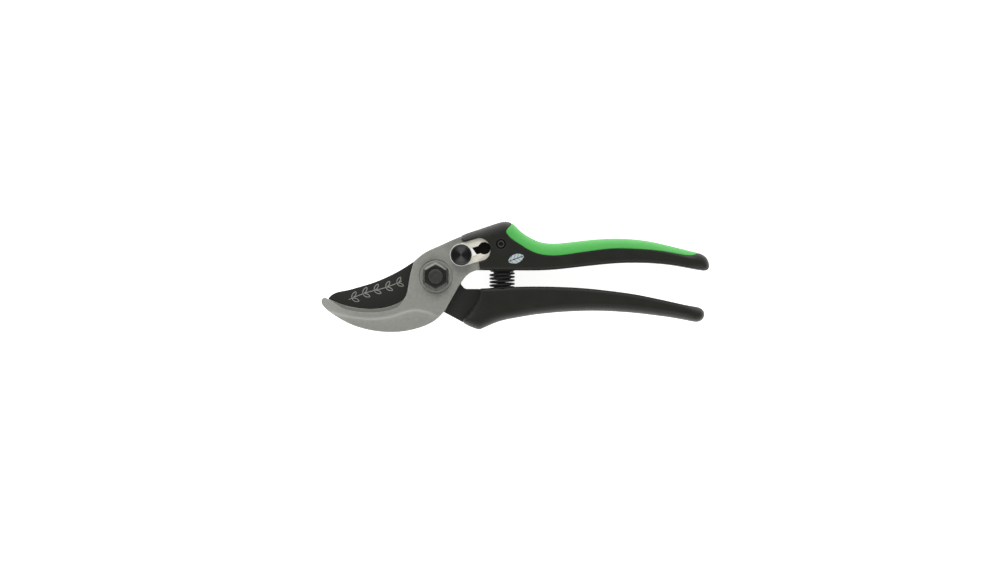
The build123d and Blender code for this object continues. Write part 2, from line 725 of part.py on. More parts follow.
save(upper_handle_sleeve, "upper_handle_sleeve")

# ---------------------------------------------------------------- lower handle grip
with BuildPart() as lower_handle_grip:
    for x in (13.0, 17.0, HEEL_X):
        low = height_at(lower_heel, x)
        high = height_at(lower_top, x)
        add(grip_slice(x, low, high, thickness_at(x, LOWER_END_X), PALM_R, INSIDE_R))
    loft()
    for slice_ in grip_slices(lower_bottom, lower_top, LOWER_STATIONS, LOWER_END_X, PALM_R, INSIDE_R):
        add(slice_)
    loft()
    add(rounded_end(LOWER_END_X, lower_tip), mode=Mode.INTERSECT)
    with BuildSketch(Plane.XY.offset(-2)):
        with BuildLine():
            front_edge = Spline(
                (23.3, -4.0), (23.2, -7.5), (22.6, -11.0), (20.6, -14.8), (16.8, -18.9),
                (14.4, -22.6), (14.1, -25.0)
            )
            Polyline(front_edge @ 1, (14.1, -40.0), (0.0, -40.0), (0.0, -4.0), front_edge @ 0)
        make_face()
    extrude(amount=22, mode=Mode.SUBTRACT)
    add(blade_blank, mode=Mode.SUBTRACT)
    # Recess for the foot of the spring.
    with BuildSketch(Plane((SPRING_X, SPRING_FOOT_Y, GRIP_MID_Z), z_dir=(0, 1, 0))):
        Circle(SEAT_R + 0.2)
    extrude(amount=5, mode=Mode.SUBTRACT)
    add(spring_lower_seat.part, mode=Mode.SUBTRACT)
save(lower_handle_grip, "lower_handle_grip")
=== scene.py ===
import json
import math

import bmesh
import bpy
import numpy as np
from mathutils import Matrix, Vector


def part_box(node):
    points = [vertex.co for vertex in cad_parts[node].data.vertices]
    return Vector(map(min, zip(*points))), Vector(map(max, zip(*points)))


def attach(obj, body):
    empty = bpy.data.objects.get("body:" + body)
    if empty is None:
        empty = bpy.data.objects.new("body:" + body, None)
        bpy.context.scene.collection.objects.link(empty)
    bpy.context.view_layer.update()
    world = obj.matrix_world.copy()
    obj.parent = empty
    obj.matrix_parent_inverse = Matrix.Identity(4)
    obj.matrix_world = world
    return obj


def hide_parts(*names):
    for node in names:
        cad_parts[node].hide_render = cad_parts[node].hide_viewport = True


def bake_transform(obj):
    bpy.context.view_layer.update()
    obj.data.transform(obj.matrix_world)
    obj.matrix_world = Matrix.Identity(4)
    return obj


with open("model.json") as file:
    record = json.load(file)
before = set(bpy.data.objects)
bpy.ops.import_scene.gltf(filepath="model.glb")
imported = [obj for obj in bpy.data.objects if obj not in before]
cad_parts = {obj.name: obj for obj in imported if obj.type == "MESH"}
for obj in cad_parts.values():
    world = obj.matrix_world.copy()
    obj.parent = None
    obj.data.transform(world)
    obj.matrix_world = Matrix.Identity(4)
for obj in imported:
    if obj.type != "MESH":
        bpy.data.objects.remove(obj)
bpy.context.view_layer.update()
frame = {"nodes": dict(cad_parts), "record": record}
MM = 0.001

# ------------------------------------------------------------------ camera
# The tool is seen square on, from above the nut.
VIEW_CENTRE = Vector((33.6, -8.1, 8.5)) * MM
VIEW_HEIGHT = 1.459
camera = bpy.data.objects.new("camera", bpy.data.cameras.new("camera"))
bpy.context.scene.collection.objects.link(camera)
camera.location = VIEW_CENTRE + Vector((0, 0, VIEW_HEIGHT))
camera.data.lens = 100
camera.data.sensor_width = 36
camera.data.clip_start = 0.05
camera.data.clip_end = 20
bpy.context.scene.camera = camera
bpy.context.scene.view_settings.view_transform = "Standard"

# ------------------------------------------------------------------ heights and sizes, in mm
# Most are the CAD's. The spring's wire is a little finer here and its coil a little wider.
BLADE_BACK, BLADE_FRONT = 3.5, 7.05
BODY_BACK, BODY_FRONT = 7.1, 13.5
TANG_MID_Z, TANG_HALF = 9.3, 2.2
NUT_BASE = 13.9
PLATE_BACK, PLATE_FRONT = 13.0, 14.0
PLATE_R, PLATE_TAIL = 5.9, 19.0
GRIP_MID_Z = 8.5
GRIP_T, GRIP_END_T = 17.0, 14.6
UPPER_END_X, LOWER_END_X = 143.4, 140.9
INLAY_T, INLAY_END_T, INLAY_PROUD = 2.2, 0.6, 0.04
LOCK_AT = np.array((13.3, 11.3))
LOCK_DIR = np.array((math.cos(math.radians(16.2)), math.sin(math.radians(16.2))))
LOCK_SIDE = np.array((-LOCK_DIR[1], LOCK_DIR[0]))
SCREW_AT = (34.1, 17.0)
SPRING_X, SPRING_TOP_Y, SPRING_FOOT_Y = 34.7, 2.4, -8.0
SPRING_R, WIRE_R, SPRING_TURNS = 6.2, 0.55, 5.1
BADGE_AT = np.array((42.0, 9.3))
EAR_R = 18.78


# ------------------------------------------------------------------ curves and distances in the plan
def interval(lines, values):
    """Which gap between rising lines each value falls in."""
    return np.clip(np.searchsorted(lines, values, "right") - 1, 0, len(lines) - 2)


def spline(points, step=0.5):
    """A smooth curve through the points, sampled about every step."""
    p = np.array(points, float)
    chord = np.concatenate([[0], np.cumsum(np.linalg.norm(np.diff(p, axis=0), axis=1))])
    n = len(p)
    h = np.diff(chord)
    a = np.zeros((n, n))
    b = np.zeros((n, 2))
    a[0, 0] = a[-1, -1] = 1
    for i in range(1, n - 1):
        a[i, i - 1], a[i, i], a[i, i + 1] = h[i - 1], 2 * (h[i - 1] + h[i]), h[i]
        b[i] = 6 * ((p[i + 1] - p[i]) / h[i] - (p[i] - p[i - 1]) / h[i - 1])
    m = np.linalg.solve(a, b)
    s = np.linspace(0, chord[-1], max(8, int(chord[-1] / step)))
    i = interval(chord, s)
    u, w, hi = (chord[i + 1] - s)[:, None], (s - chord[i])[:, None], h[i][:, None]
    return (
        m[i] * u**3 / (6 * hi)
        + m[i + 1] * w**3 / (6 * hi)
        + (p[i] / hi - m[i] * hi / 6) * u
        + (p[i + 1] / hi - m[i + 1] * hi / 6) * w
    )


def joined(*runs):
    """Runs of points as one array."""
    return np.vstack([np.array(r, float).reshape(-1, 2) for r in runs])


def line_distance(x, y, line, closed=False):
    """Distance from each point to a polyline."""
    ends = np.roll(line, -1, 0) if closed else line[1:]
    starts = line if closed else line[:-1]
    best = np.full(x.shape, 1e9)
    for (ax, ay), (bx, by) in zip(starts, ends):
        dx, dy = bx - ax, by - ay
        t = np.clip(((x - ax) * dx + (y - ay) * dy) / max(dx * dx + dy * dy, 1e-12), 0, 1)
        best = np.minimum(best, (x - ax - t * dx) ** 2 + (y - ay - t * dy) ** 2)
    return np.sqrt(best)


def region_distance(x, y, outline):
    """Signed distance to a closed outline, negative inside."""
    inside = np.zeros(x.shape, bool)
    for (ax, ay), (bx, by) in zip(outline, np.roll(outline, -1, 0)):
        if ay != by:
            crosses = ((ay > y) != (by > y)) & (x < (bx - ax) * (y - ay) / (by - ay) + ax)
            inside ^= crosses
    d = line_distance(x, y, outline, closed=True)
    return np.where(inside, -d, d)


def smooth_max(a, b, k):
    """The larger of two fields, with the edge between them rounded over about k."""
    h = np.clip(0.5 - 0.5 * (b - a) / k, 0, 1)
    return b + (a - b) * h + k * h * (1 - h)


def smooth_min(a, b, k):
    """The smaller of two fields, rounded in the same way."""
    return -smooth_max(-a, -b, k)


def ramp(t, low, high):
    """A smooth step from 0 at low to 1 at high."""
    t = np.clip((t - low) / (high - low), 0, 1)
    return t * t * (3 - 2 * t)


def rounded(d, e, r):
    """A field that is inside where d and e both are, with their common edge rounded to radius r."""
    p, q = d + r, e + r
    outside = np.sqrt(np.maximum(p, 0) ** 2 + np.maximum(q, 0) ** 2)
    return np.minimum(np.maximum(p, q), 0) + outside - r


def lock_place(x, y):
    """Distances along the lock's travel and across it, from the lock's centre."""
    u, v = x - LOCK_AT[0], y - LOCK_AT[1]
    return u * LOCK_DIR[0] + v * LOCK_DIR[1], u * LOCK_SIDE[0] + v * LOCK_SIDE[1]


def slot_distance(x, y, span, radius):
    """Signed distance to a slot along the lock's travel."""
    along, across = lock_place(x, y)
    return np.hypot(along - np.clip(along, span[0], span[1]), across) - radius


def lock_box_distance(x, y, low, high, half):
    """A field that is inside a box along the lock's travel."""
    along, across = lock_place(x, y)
    return np.maximum(np.maximum(low - along, along - high), np.abs(across) - half)


def from_screw(x, y):
    return np.hypot(x - SCREW_AT[0], y - SCREW_AT[1])


# ------------------------------------------------------------------ meshes from fields
def ruler(low, high, step, fine=None):
    """Grid lines from low to high, closer together between fine[0] and fine[1]."""
    if not fine:
        return np.linspace(low, high, int((high - low) / step) + 2)
    start, end, close = fine
    runs = ((low, start, step), (start, end, close), (end, high, step))
    lines = [np.linspace(a, b, max(2, int((b - a) / s) + 2)) for a, b, s in runs if b > a]
    return np.unique(np.concatenate(lines))


CORNERS = [(i, j, k) for i in (0, 1) for j in (0, 1) for k in (0, 1)]
NEAR_ZERO = 1e-7
SETTLE_PASSES, LEAST_SLOPE = 2, 0.05


def settled(verts, f, axes):
    """Points near the zero surface of a sampled field, moved onto it by the field's own slope."""
    gaps = [np.diff(a) for a in axes]
    for _ in range(SETTLE_PASSES):
        i = np.stack([interval(axes[a], verts[:, a]) for a in range(3)], 1)
        step = np.stack([gaps[a][i[:, a]] for a in range(3)], 1)
        t = np.stack([(verts[:, a] - axes[a][i[:, a]]) / step[:, a] for a in range(3)], 1)
        v = {c: f[i[:, 0] + c[0], i[:, 1] + c[1], i[:, 2] + c[2]] for c in CORNERS}
        w = {c: [t[:, a] if c[a] else 1 - t[:, a] for a in range(3)] for c in CORNERS}
        value = sum(v[c] * w[c][0] * w[c][1] * w[c][2] for c in CORNERS)
        slope = np.zeros(verts.shape)
        for a in range(3):
            b, d = (a + 1) % 3, (a + 2) % 3
            slope[:, a] = sum(v[c] * (1 if c[a] else -1) * w[c][b] * w[c][d] for c in CORNERS) / step[:, a]
        size = np.maximum((slope**2).sum(1), LEAST_SLOPE)
        verts = verts + np.clip(-(value / size)[:, None] * slope, -0.5 * step, 0.5 * step)
    return verts


def crossed_quads(neg, index):
    """A quad of cell numbers round each grid line piece that the surface crosses, facing outwards."""
    quads = []
    for axis in range(3):
        b, c = (axis + 1) % 3, (axis + 2) % 3
        lead = [slice(None)] * 3
        tail = [slice(None)] * 3
        lead[axis], tail[axis] = slice(0, -1), slice(1, None)
        edges = np.argwhere(neg[tuple(lead)] != neg[tuple(tail)])
        edges = edges[(edges[:, b] > 0) & (edges[:, c] > 0)]
        edges = edges[(edges[:, b] < index.shape[b]) & (edges[:, c] < index.shape[c])]
        ring = []
        for db, dc in ((1, 1), (0, 1), (0, 0), (1, 0)):
            e = edges.copy()
            e[:, b] -= db
            e[:, c] -= dc
            ring.append(index[tuple(e.T)])
        quad = np.stack(ring, 1)
        flip = ~neg[tuple(edges.T)]
        quad[flip] = quad[flip][:, ::-1]
        quads.append(quad)
    return np.vstack(quads)


def linked(name, data):
    """A new object that shows a mesh or a lamp."""
    obj = bpy.data.objects.new(name, data)
    bpy.context.scene.collection.objects.link(obj)
    return obj


def turned_outwards(mesh, close=False):
    """Turns all faces of a mesh outwards, after closing its open ends where asked."""
    made = bmesh.new()
    made.from_mesh(mesh)
    if close:
        bmesh.ops.remove_doubles(made, verts=made.verts, dist=1e-7)
        bmesh.ops.holes_fill(made, edges=[e for e in made.edges if e.is_boundary], sides=0)
    bmesh.ops.recalc_face_normals(made, faces=made.faces)
    made.to_mesh(mesh)
    made.free()


def surface(name, field, axes):
    """The zero surface of a field as a mesh of quads. Grid lines are in mm; field(x, y, z) takes grids."""
    x, y = np.meshgrid(axes[0], axes[1], indexing="ij")
    f = field(x[..., None], y[..., None], axes[2][None, None, :])
    f = np.where(np.abs(f) < NEAR_ZERO, NEAR_ZERO, f)
    neg = f < 0
    shape = np.array(f.shape) - 1

    def part(a, c):
        return a[c[0] : c[0] + shape[0], c[1] : c[1] + shape[1], c[2] : c[2] + shape[2]]

    count = sum(part(neg, c).astype(np.int8) for c in CORNERS)
    cells = np.argwhere((count > 0) & (count < len(CORNERS)))
    index = np.full(shape, -1, np.int64)
    index[tuple(cells.T)] = np.arange(len(cells))
    # A vertex in each crossed cell, at the mean of the places where the surface cuts the cell's edges.
    total = np.zeros((len(cells), 3))
    hits = np.zeros(len(cells))
    values = {c: part(f, c)[tuple(cells.T)] for c in CORNERS}
    for c in CORNERS:
        for axis in range(3):
            if c[axis] == 0:
                d = tuple(1 if i == axis else v for i, v in enumerate(c))
                fa, fb = values[c], values[d]
                crossed = (fa < 0) != (fb < 0)
                point = np.repeat(np.array(c, float)[None], len(cells), 0)
                point[:, axis] = np.where(crossed, fa / np.where(crossed, fa - fb, 1), 0)
                total += point * crossed[:, None]
                hits += crossed
    within = total / hits[:, None]
    starts = [axes[a][cells[:, a]] for a in range(3)]
    verts = np.stack([starts[a] + within[:, a] * np.diff(axes[a])[cells[:, a]] for a in range(3)], 1)
    mesh = bpy.data.meshes.new(name)
    mesh.from_pydata((settled(verts, f, axes) * MM).tolist(), [], crossed_quads(neg, index).tolist())
    mesh.validate()
    mesh.shade_smooth()
    return linked(name, mesh)


def lathe(name, profile, centre, around=96):
    """A turned piece about Z: profile is (radius, z) in mm from the axis outwards and back."""
    verts, faces = [], []
    for r, z in profile:
        for t in np.linspace(0, 2 * math.pi, around, endpoint=False):
            verts.append(((centre[0] + r * math.cos(t)) * MM, (centre[1] + r * math.sin(t)) * MM, z * MM))
    for i in range(len(profile) - 1):
        for j in range(around):
            k = (j + 1) % around
            faces.append((i * around + j, i * around + k, (i + 1) * around + k, (i + 1) * around + j))
    mesh = bpy.data.meshes.new(name)
    mesh.from_pydata(verts, [], faces)
    turned_outwards(mesh, close=True)
    mesh.shade_smooth()
    mesh.set_sharp_from_angle(angle=math.radians(35))
    return linked(name, mesh)


# ------------------------------------------------------------------ outlines, in mm
UPPER_TOP = spline(
    [
        (12.0, 20.7), (13.8, 21.7), (20.0, 24.0), (26.0, 26.0), (33.0, 28.3), (36.8, 28.9), (40.0, 27.9),
        (44.0, 24.2), (48.5, 21.0), (54.0, 18.4), (60.0, 17.4), (70.0, 18.0), (88.0, 19.8), (110.0, 18.8),
        (126.0, 15.3), (136.0, 12.8), (140.0, 11.4), (142.2, 9.4), (143.2, 6.9), (143.2, 4.8), (142.4, 3.5),
        (140.6, 3.0),
    ]
)
UPPER_BOTTOM = spline(
    [
        (140.6, 3.0), (137.5, 3.5), (129.0, 5.1), (120.0, 6.4), (112.0, 7.0), (103.0, 7.2), (94.0, 6.9),
        (83.0, 5.9), (73.0, 4.8), (60.0, 3.5), (44.0, 3.2), (23.0, 3.3),
    ]
)
upper_outline = joined(UPPER_TOP[:-1], UPPER_BOTTOM, [(12.0, 3.5)])
LOWER_TOP = spline(
    [
        (23.3, -6.3), (30.0, -5.9), (44.0, -5.3), (60.0, -5.3), (80.0, -6.3), (92.0, -7.6), (103.0, -9.1),
        (114.0, -11.2), (125.0, -13.6), (135.0, -15.6), (138.6, -16.5), (140.4, -18.2), (140.7, -20.4),
        (139.6, -22.6), (137.3, -23.7), (134.0, -23.5),
    ]
)
LOWER_BOTTOM = spline(
    [
        (134.0, -23.5), (127.0, -22.1), (116.0, -20.5), (105.0, -19.2), (95.0, -18.4), (84.0, -18.0),
        (73.0, -18.2), (62.0, -18.9), (51.0, -20.1), (41.0, -21.8), (33.0, -23.6), (27.0, -26.0),
        (24.0, -27.4),
    ]
)
LOWER_HEEL = spline([(22.6, -27.8), (20.5, -27.2), (17.6, -26.1), (14.8, -24.6)])
LOWER_FRONT = spline(
    [(14.2, -23.7), (15.0, -21.2), (16.8, -18.9), (19.5, -16.0), (21.8, -12.8), (22.9, -9.8), (23.1, -7.3)]
)
lower_outline = joined(LOWER_TOP[:-1], LOWER_BOTTOM, LOWER_HEEL, LOWER_FRONT)
INLAY_EDGE = spline(
    [
        (36.6, 23.1), (38.3, 20.9), (43.1, 17.3), (47.9, 14.3), (52.7, 12.1), (58.5, 11.0), (64.5, 11.0),
        (71.4, 11.9), (80.5, 13.2), (92.0, 14.5), (104.0, 14.4), (118.7, 13.1), (130.0, 11.1),
        (134.0, 10.9), (136.6, 11.6),
    ]
)
inlay_region = joined(INLAY_EDGE, [(139.0, 14.0), (139.0, 36.0), (42.5, 36.0), (39.4, 27.2), (37.0, 24.6)])
UPPER_PALM_R, LOWER_PALM_R, INSIDE_R, END_R = 6.0, 4.6, 2.0, 3.8
SIDE_FALL, SIDE_RUN = 0.25, 7.0  # how far a handle's side falls towards its edge, and over what width
SEAM = 0.06


def half_thickness(x, end_x):
    """Half a handle's thickness, greatest half way along it."""
    share = np.clip(x / end_x, 0, 1)
    return (GRIP_END_T + (GRIP_T - GRIP_END_T) * np.sin(math.pi * share) ** 0.8) / 2


def handle_field(x, y, z, d, palm, end_x, palm_r):
    """A handle: its outline d drawn up to its thickness, round on the palm side (palm from 0 to 1)."""
    r = INSIDE_R + (palm_r - INSIDE_R) * ramp(palm, 0.3, 0.7)
    r = r + (END_R - r) * ramp(x, end_x - 12, end_x - 3)
    t = half_thickness(x, end_x) - SIDE_FALL * (1 - np.clip(-d / SIDE_RUN, 0, 1)) ** 2
    return rounded(d, np.abs(z - GRIP_MID_Z) - t, r)


def height_at(x, line):
    """The height of a curve that doesn't turn back, at each x."""
    order = np.argsort(line[:, 0])
    return np.interp(x, line[order, 0], line[order, 1])


def between(x, y, low_line, high_line):
    """Where y lies between two curves, from 0 at the low one to 1 at the high one."""
    low, high = height_at(x, low_line), height_at(x, high_line)
    return (y - low) / (high - low)


# The long sides of the handles, without the round ends.
UPPER_TOP_RUN = UPPER_TOP[UPPER_TOP[:, 0] < 139]
LOWER_TOP_RUN = LOWER_TOP[LOWER_TOP[:, 0] < 137]
LOWER_LOW_RUN = joined(LOWER_BOTTOM, LOWER_HEEL)


def upper_shape(x, y, z):
    """The upper handle as one piece, sleeve and inlay together."""
    d = region_distance(x, y, upper_outline)
    palm = between(x, y, UPPER_BOTTOM, UPPER_TOP_RUN)
    return handle_field(x, y, z, d, palm, UPPER_END_X, UPPER_PALM_R)


# The part of the body that the sleeve wraps, and the cuts at the sleeve's front.
WRAPPED_BODY = np.array([(0, 6.3), (38.5, 6.3), (38.5, 23.8), (14.6, 19.8), (13.6, 21.2), (0, 24)], float)
WRAPPED_TANG = np.array(
    [
        (24, 6.3), (50, 6.3), (84, 9.4), (104, 10.4), (104, 14.8), (84, 15.0), (60, 13.1), (46, 17.6),
        (34, 23.4), (24, 20.6),
    ],
    float,
)
FRONT_CUT = joined(
    [(0, 40), (12.0, 40)],
    spline([(12.1, 21.6), (12.4, 19.9), (13.5, 18.8), (15.5, 18.2), (20.0, 18.0)]),
    spline([(24.0, 12.0), (22.7, 8.4), (22.7, 6.4), (23.3, 3.2)]),
    [(23.3, -6), (0, -6)],
)
REAR_CUT = np.array([(0, 40), (13.0, 40), (13.1, 20.9), (15.4, 18.8), (12.0, 0), (0, 0)], float)
WINDOW_R, WINDOW_SPAN = 6.1, 9.6
SCREW_BORE_R = 2.5
SCREW_HEAD_BASE = 14.55
NUT_POCKET_R, NUT_POCKET_TOP = 3.3, 3.2
SEAT_R, SEAT_ROOF_Y, FOOT_R = 7.0, 4.3, 7.25
EAR_ROOM = 0.6
SEAM_ROUND, CUT_ROUND, BORE_ROUND, FOOT_ROUND = 0.3, 0.7, 0.4, 0.5


def inlay_depth(x):
    """The inlay thins out towards both ends."""
    return INLAY_END_T + (INLAY_T - INLAY_END_T) * ramp(x, 41, 48) * (1 - ramp(x, 124, 133))


def tang_field(x, y, z):
    return np.maximum(region_distance(x, y, WRAPPED_TANG), np.abs(z - TANG_MID_Z) - TANG_HALF)


def sleeve_field(x, y, z):
    whole = upper_shape(x, y, z)
    region = region_distance(x, y, inlay_region)
    f = smooth_min(smooth_max(whole, SEAM - region, SEAM_ROUND), whole + inlay_depth(x), SEAM_ROUND)
    front = np.maximum(region_distance(x, y, FRONT_CUT), BODY_BACK - z)
    window = np.maximum(slot_distance(x, y, (0, WINDOW_SPAN), WINDOW_R), PLATE_FRONT - z)
    sweep = np.minimum(region_distance(x, y, REAR_CUT), np.hypot(x, y) - EAR_R - EAR_ROOM)
    rear = np.maximum(sweep, z - BODY_BACK)
    for opening in (front, window, rear):
        f = smooth_max(f, -opening, CUT_ROUND)
    body_mid, body_half = (BODY_FRONT + BODY_BACK) / 2, (BODY_FRONT - BODY_BACK) / 2
    body = np.maximum(region_distance(x, y, WRAPPED_BODY), np.abs(z - body_mid) - body_half)
    f = np.maximum(f, -np.minimum(body, tang_field(x, y, z)))
    plate_mid, plate_half = (PLATE_FRONT + PLATE_BACK) / 2, (PLATE_FRONT - PLATE_BACK) / 2
    plate = np.maximum(slot_distance(x, y, (0, PLATE_TAIL), PLATE_R), np.abs(z - plate_mid) - plate_half)
    f = np.maximum(f, -plate)
    head_bore = np.maximum(from_screw(x, y) - SCREW_BORE_R, SCREW_HEAD_BASE - z)
    nut_pocket = np.maximum(from_screw(x, y) - NUT_POCKET_R, z - NUT_POCKET_TOP)
    f = smooth_max(smooth_max(f, -head_bore, BORE_ROUND), -nut_pocket, BORE_ROUND)
    seat = np.maximum(np.hypot(x - SPRING_X, z - GRIP_MID_Z) - SEAT_R, y - SEAT_ROOF_Y)
    return np.maximum(f, -seat)


def inlay_field(x, y, z):
    whole = upper_shape(x, y, z)
    region = region_distance(x, y, inlay_region)
    return np.maximum(smooth_max(whole - INLAY_PROUD, region + SEAM, SEAM_ROUND), -(whole + inlay_depth(x)))


def grip_field(x, y, z):
    d = region_distance(x, y, lower_outline)
    palm = 1 - between(x, y, LOWER_LOW_RUN, LOWER_TOP_RUN)
    f = handle_field(x, y, z, d, palm, LOWER_END_X, LOWER_PALM_R)
    foot = np.maximum(np.hypot(x - SPRING_X, z - GRIP_MID_Z) - FOOT_R, SPRING_FOOT_Y - y)
    return smooth_max(f, -foot, FOOT_ROUND)


FINE = 1.0
THICK = ruler(-1.0, 18.2, 0.34 * FINE)
sleeve = surface(
    "upper_sleeve",
    sleeve_field,
    (ruler(11, 145, 0.42 * FINE, (11.4, 40, 0.24 * FINE)), ruler(1.5, 30.5, 0.3 * FINE), THICK),
)
inlay = surface(
    "green_inlay", inlay_field, (ruler(35, 139, 0.4 * FINE), ruler(8.5, 30.5, 0.3 * FINE), THICK)
)
grip = surface(
    "lower_grip", grip_field, (ruler(12.5, 143, 0.42 * FINE), ruler(-29, -3.5, 0.34 * FINE), THICK)
)

# ------------------------------------------------------------------ hook body
HOOK_OUTER = spline(
    [
        (-57.9, -10.9), (-58.9, -11.1), (-59.7, -11.8), (-60.0, -12.8), (-59.7, -14.3), (-58.4, -16.2),
        (-55.0, -19.1), (-50.0, -22.3), (-45.0, -24.9), (-38.0, -27.3), (-31.0, -28.7), (-24.0, -29.2),
        (-17.0, -28.8), (-10.0, -27.3), (-4.0, -25.1), (0.0, -22.7), (4.8, -17.8),
    ]
)
CROTCH = spline([(11.9, -5.2), (13.3, -3.0), (16.8, 1.1), (19.6, 2.7), (23.3, 3.7)])
CROWN = spline([(13.6, 21.3), (8.0, 19.0), (1.5, 16.0), (-4.5, 13.3), (-8.5, 10.6), (-11.4, 8.0)])
THROAT = spline(
    [
        (-11.4, 8.0), (-13.4, 0.8), (-14.6, -6.0), (-16.2, -11.0), (-20.5, -14.2), (-27.0, -16.3),
        (-34.0, -17.0), (-41.0, -16.5), (-48.5, -14.9), (-56.9, -11.5),
    ]
)
hook_outline = joined(
    HOOK_OUTER, CROTCH, [(24.5, 6.3), (38.5, 6.3), (38.5, 23.8), (14.6, 19.8)], CROWN[:-1], THROAT
)
HOOK_CREST = spline(
    [
        (-60.0, -16.6), (-54.5, -18.6), (-44.0, -21.1), (-33.5, -22.1), (-22.0, -20.4), (-10.9, -17.5),
        (-3.4, -19.0), (2.4, -20.9), (8.0, -21.6),
    ]
)
fall_region = joined(HOOK_CREST, [(12, -40), (-66, -40), (-66, -16)])
GROUND_W, GROUND_SLOPE = 1.9, 0.7
KEYHOLE_R, KEYHOLE_AT, SLOT_R = 3.45, 12.6, 2.2
POCKET_LOW, POCKET_HIGH, POCKET_HALF, POCKET_ROOF = -3.65, 10.85, 3.25, 11.5  # room for the catch
BUSH_R, SCREW_HOLE_R, HOOK_EDGE_R = 5.0, 1.6, 0.45
GROUND_LINE = THROAT[THROAT[:, 1] < -5.5]
FALL_DEPTH, FALL_RUN, FALL_SLOPE = 1.3, 3.2, 0.06
BOSS_R, GROOVE_W = 8.35, 0.42


def ground_width(x):
    """The ground bevel fades out towards the tip and up the throat."""
    return GROUND_W * ramp(x, -57.5, -46.0) * (1 - ramp(x, -20.5, -15.5))


def hook_field(x, y, z):
    d = region_distance(x, y, hook_outline)
    past = np.maximum(0, -region_distance(x, y, fall_region))
    top = BODY_FRONT - FALL_SLOPE * past - FALL_DEPTH * (1 - np.exp(-past / FALL_RUN))
    f = rounded(d, np.maximum(z - top, BODY_BACK - z), HOOK_EDGE_R)
    ground = line_distance(x, y, GROUND_LINE)
    slope = (z - BODY_FRONT + GROUND_SLOPE * (ground_width(x) - ground)) / math.hypot(1, GROUND_SLOPE)
    f = np.maximum(f, slope)
    centre = np.hypot(x, y)
    boss = rounded(centre - BOSS_R, z - NUT_BASE, 0.3)
    f = np.minimum(f, np.maximum(boss, BODY_FRONT - 1 - z))
    groove = np.maximum(np.abs(centre - BOSS_R - GROOVE_W / 2) - GROOVE_W / 2, BODY_FRONT - GROOVE_W - z)
    f = smooth_max(f, -groove, 0.15)
    f = np.maximum(f, BUSH_R - centre)
    f = np.minimum(f, tang_field(x, y, z))
    f = np.maximum(f, SCREW_HOLE_R - from_screw(x, y))
    seat = np.maximum(slot_distance(x, y, (0, PLATE_TAIL), PLATE_R + 0.1), PLATE_BACK - z)
    slot = slot_distance(x, y, (0, KEYHOLE_AT), SLOT_R)
    keyhole = slot_distance(x, y, (KEYHOLE_AT, KEYHOLE_AT), KEYHOLE_R)
    pocket = np.maximum(lock_box_distance(x, y, POCKET_LOW, POCKET_HIGH, POCKET_HALF), z - POCKET_ROOF)
    return np.maximum(np.maximum(f, -seat), -np.minimum(np.minimum(slot, keyhole), pocket))


hook = surface(
    "hook",
    hook_field,
    (
        ruler(-61, 105, 0.36 * FINE, (-10, 31, 0.18 * FINE)),
        ruler(-30.5, 25, 0.34 * FINE, (-10, 20, 0.18 * FINE)),
        ruler(6.4, 14.4, 0.3 * FINE, (12.2, 14.2, 0.16 * FINE)),
    ),
)

# ------------------------------------------------------------------ blade
CUTTING_EDGE = spline(
    [
        (-56.6, -12.2), (-50.5, -15.9), (-43.0, -18.3), (-36.0, -19.0), (-29.5, -18.7), (-23.0, -16.7),
        (-15.5, -12.2),
    ]
)
SPINE = spline(
    [
        (9.0, 16.5), (0.0, 13.4), (-6.5, 10.8), (-11.6, 8.0), (-18.0, 3.9), (-25.0, 0.2), (-34.0, -3.5),
        (-41.1, -5.6), (-47.6, -7.3), (-52.4, -8.3), (-54.9, -9.6), (-56.6, -11.3),
    ]
)
EAR = [(EAR_R * math.cos(a), EAR_R * math.sin(a)) for a in np.radians(np.linspace(25, 60, 12))]
blade_outline = joined(
    CUTTING_EDGE,
    [(-8.0, -13.6), (0.0, -16.2), (4.3, -18.8), (14.0, -24.0)],
    spline([(24.0, -22.6), (46.0, -17.6), (80.0, -15.2), (110.0, -16.6)]),
    spline([(110.0, -12.8), (80.0, -10.4), (50.0, -10.2), (24.5, -9.9)]),
    [(23.2, -6.5), (15.9, -6.5), (14.6, -5.9), (13.2, -4.2), (12.4, 0.0), (13.4, 4.0)],
    EAR,
    SPINE,
)
BEVEL_W, BEVEL_DEEP = 5.4, 3.2
BLADE_BORE_R = 5.05
NOTCH_L, NOTCH_R = 10.0, 3.35


def blade_field(x, y, z):
    d = region_distance(x, y, blade_outline)
    middle, half = (BLADE_FRONT + BLADE_BACK) / 2, (BLADE_FRONT - BLADE_BACK) / 2
    f = rounded(d, np.abs(z - middle) - half, 0.3)
    edge = line_distance(x, y, CUTTING_EDGE)
    slope = BEVEL_DEEP / BEVEL_W
    bevel = (BLADE_BACK + slope * (BEVEL_W - edge) - z) / math.hypot(1, slope)
    f = np.maximum(f, np.where(d < 1.5, bevel, -1))
    f = np.maximum(f, BLADE_BORE_R - np.hypot(x, y))
    return np.maximum(f, -slot_distance(x, y, (0, NOTCH_L), NOTCH_R))


blade = surface(
    "blade_steel",
    blade_field,
    (ruler(-58, 111, 0.36 * FINE), ruler(-25, 18, 0.34 * FINE), ruler(2.9, 7.7, 0.22 * FINE)),
)


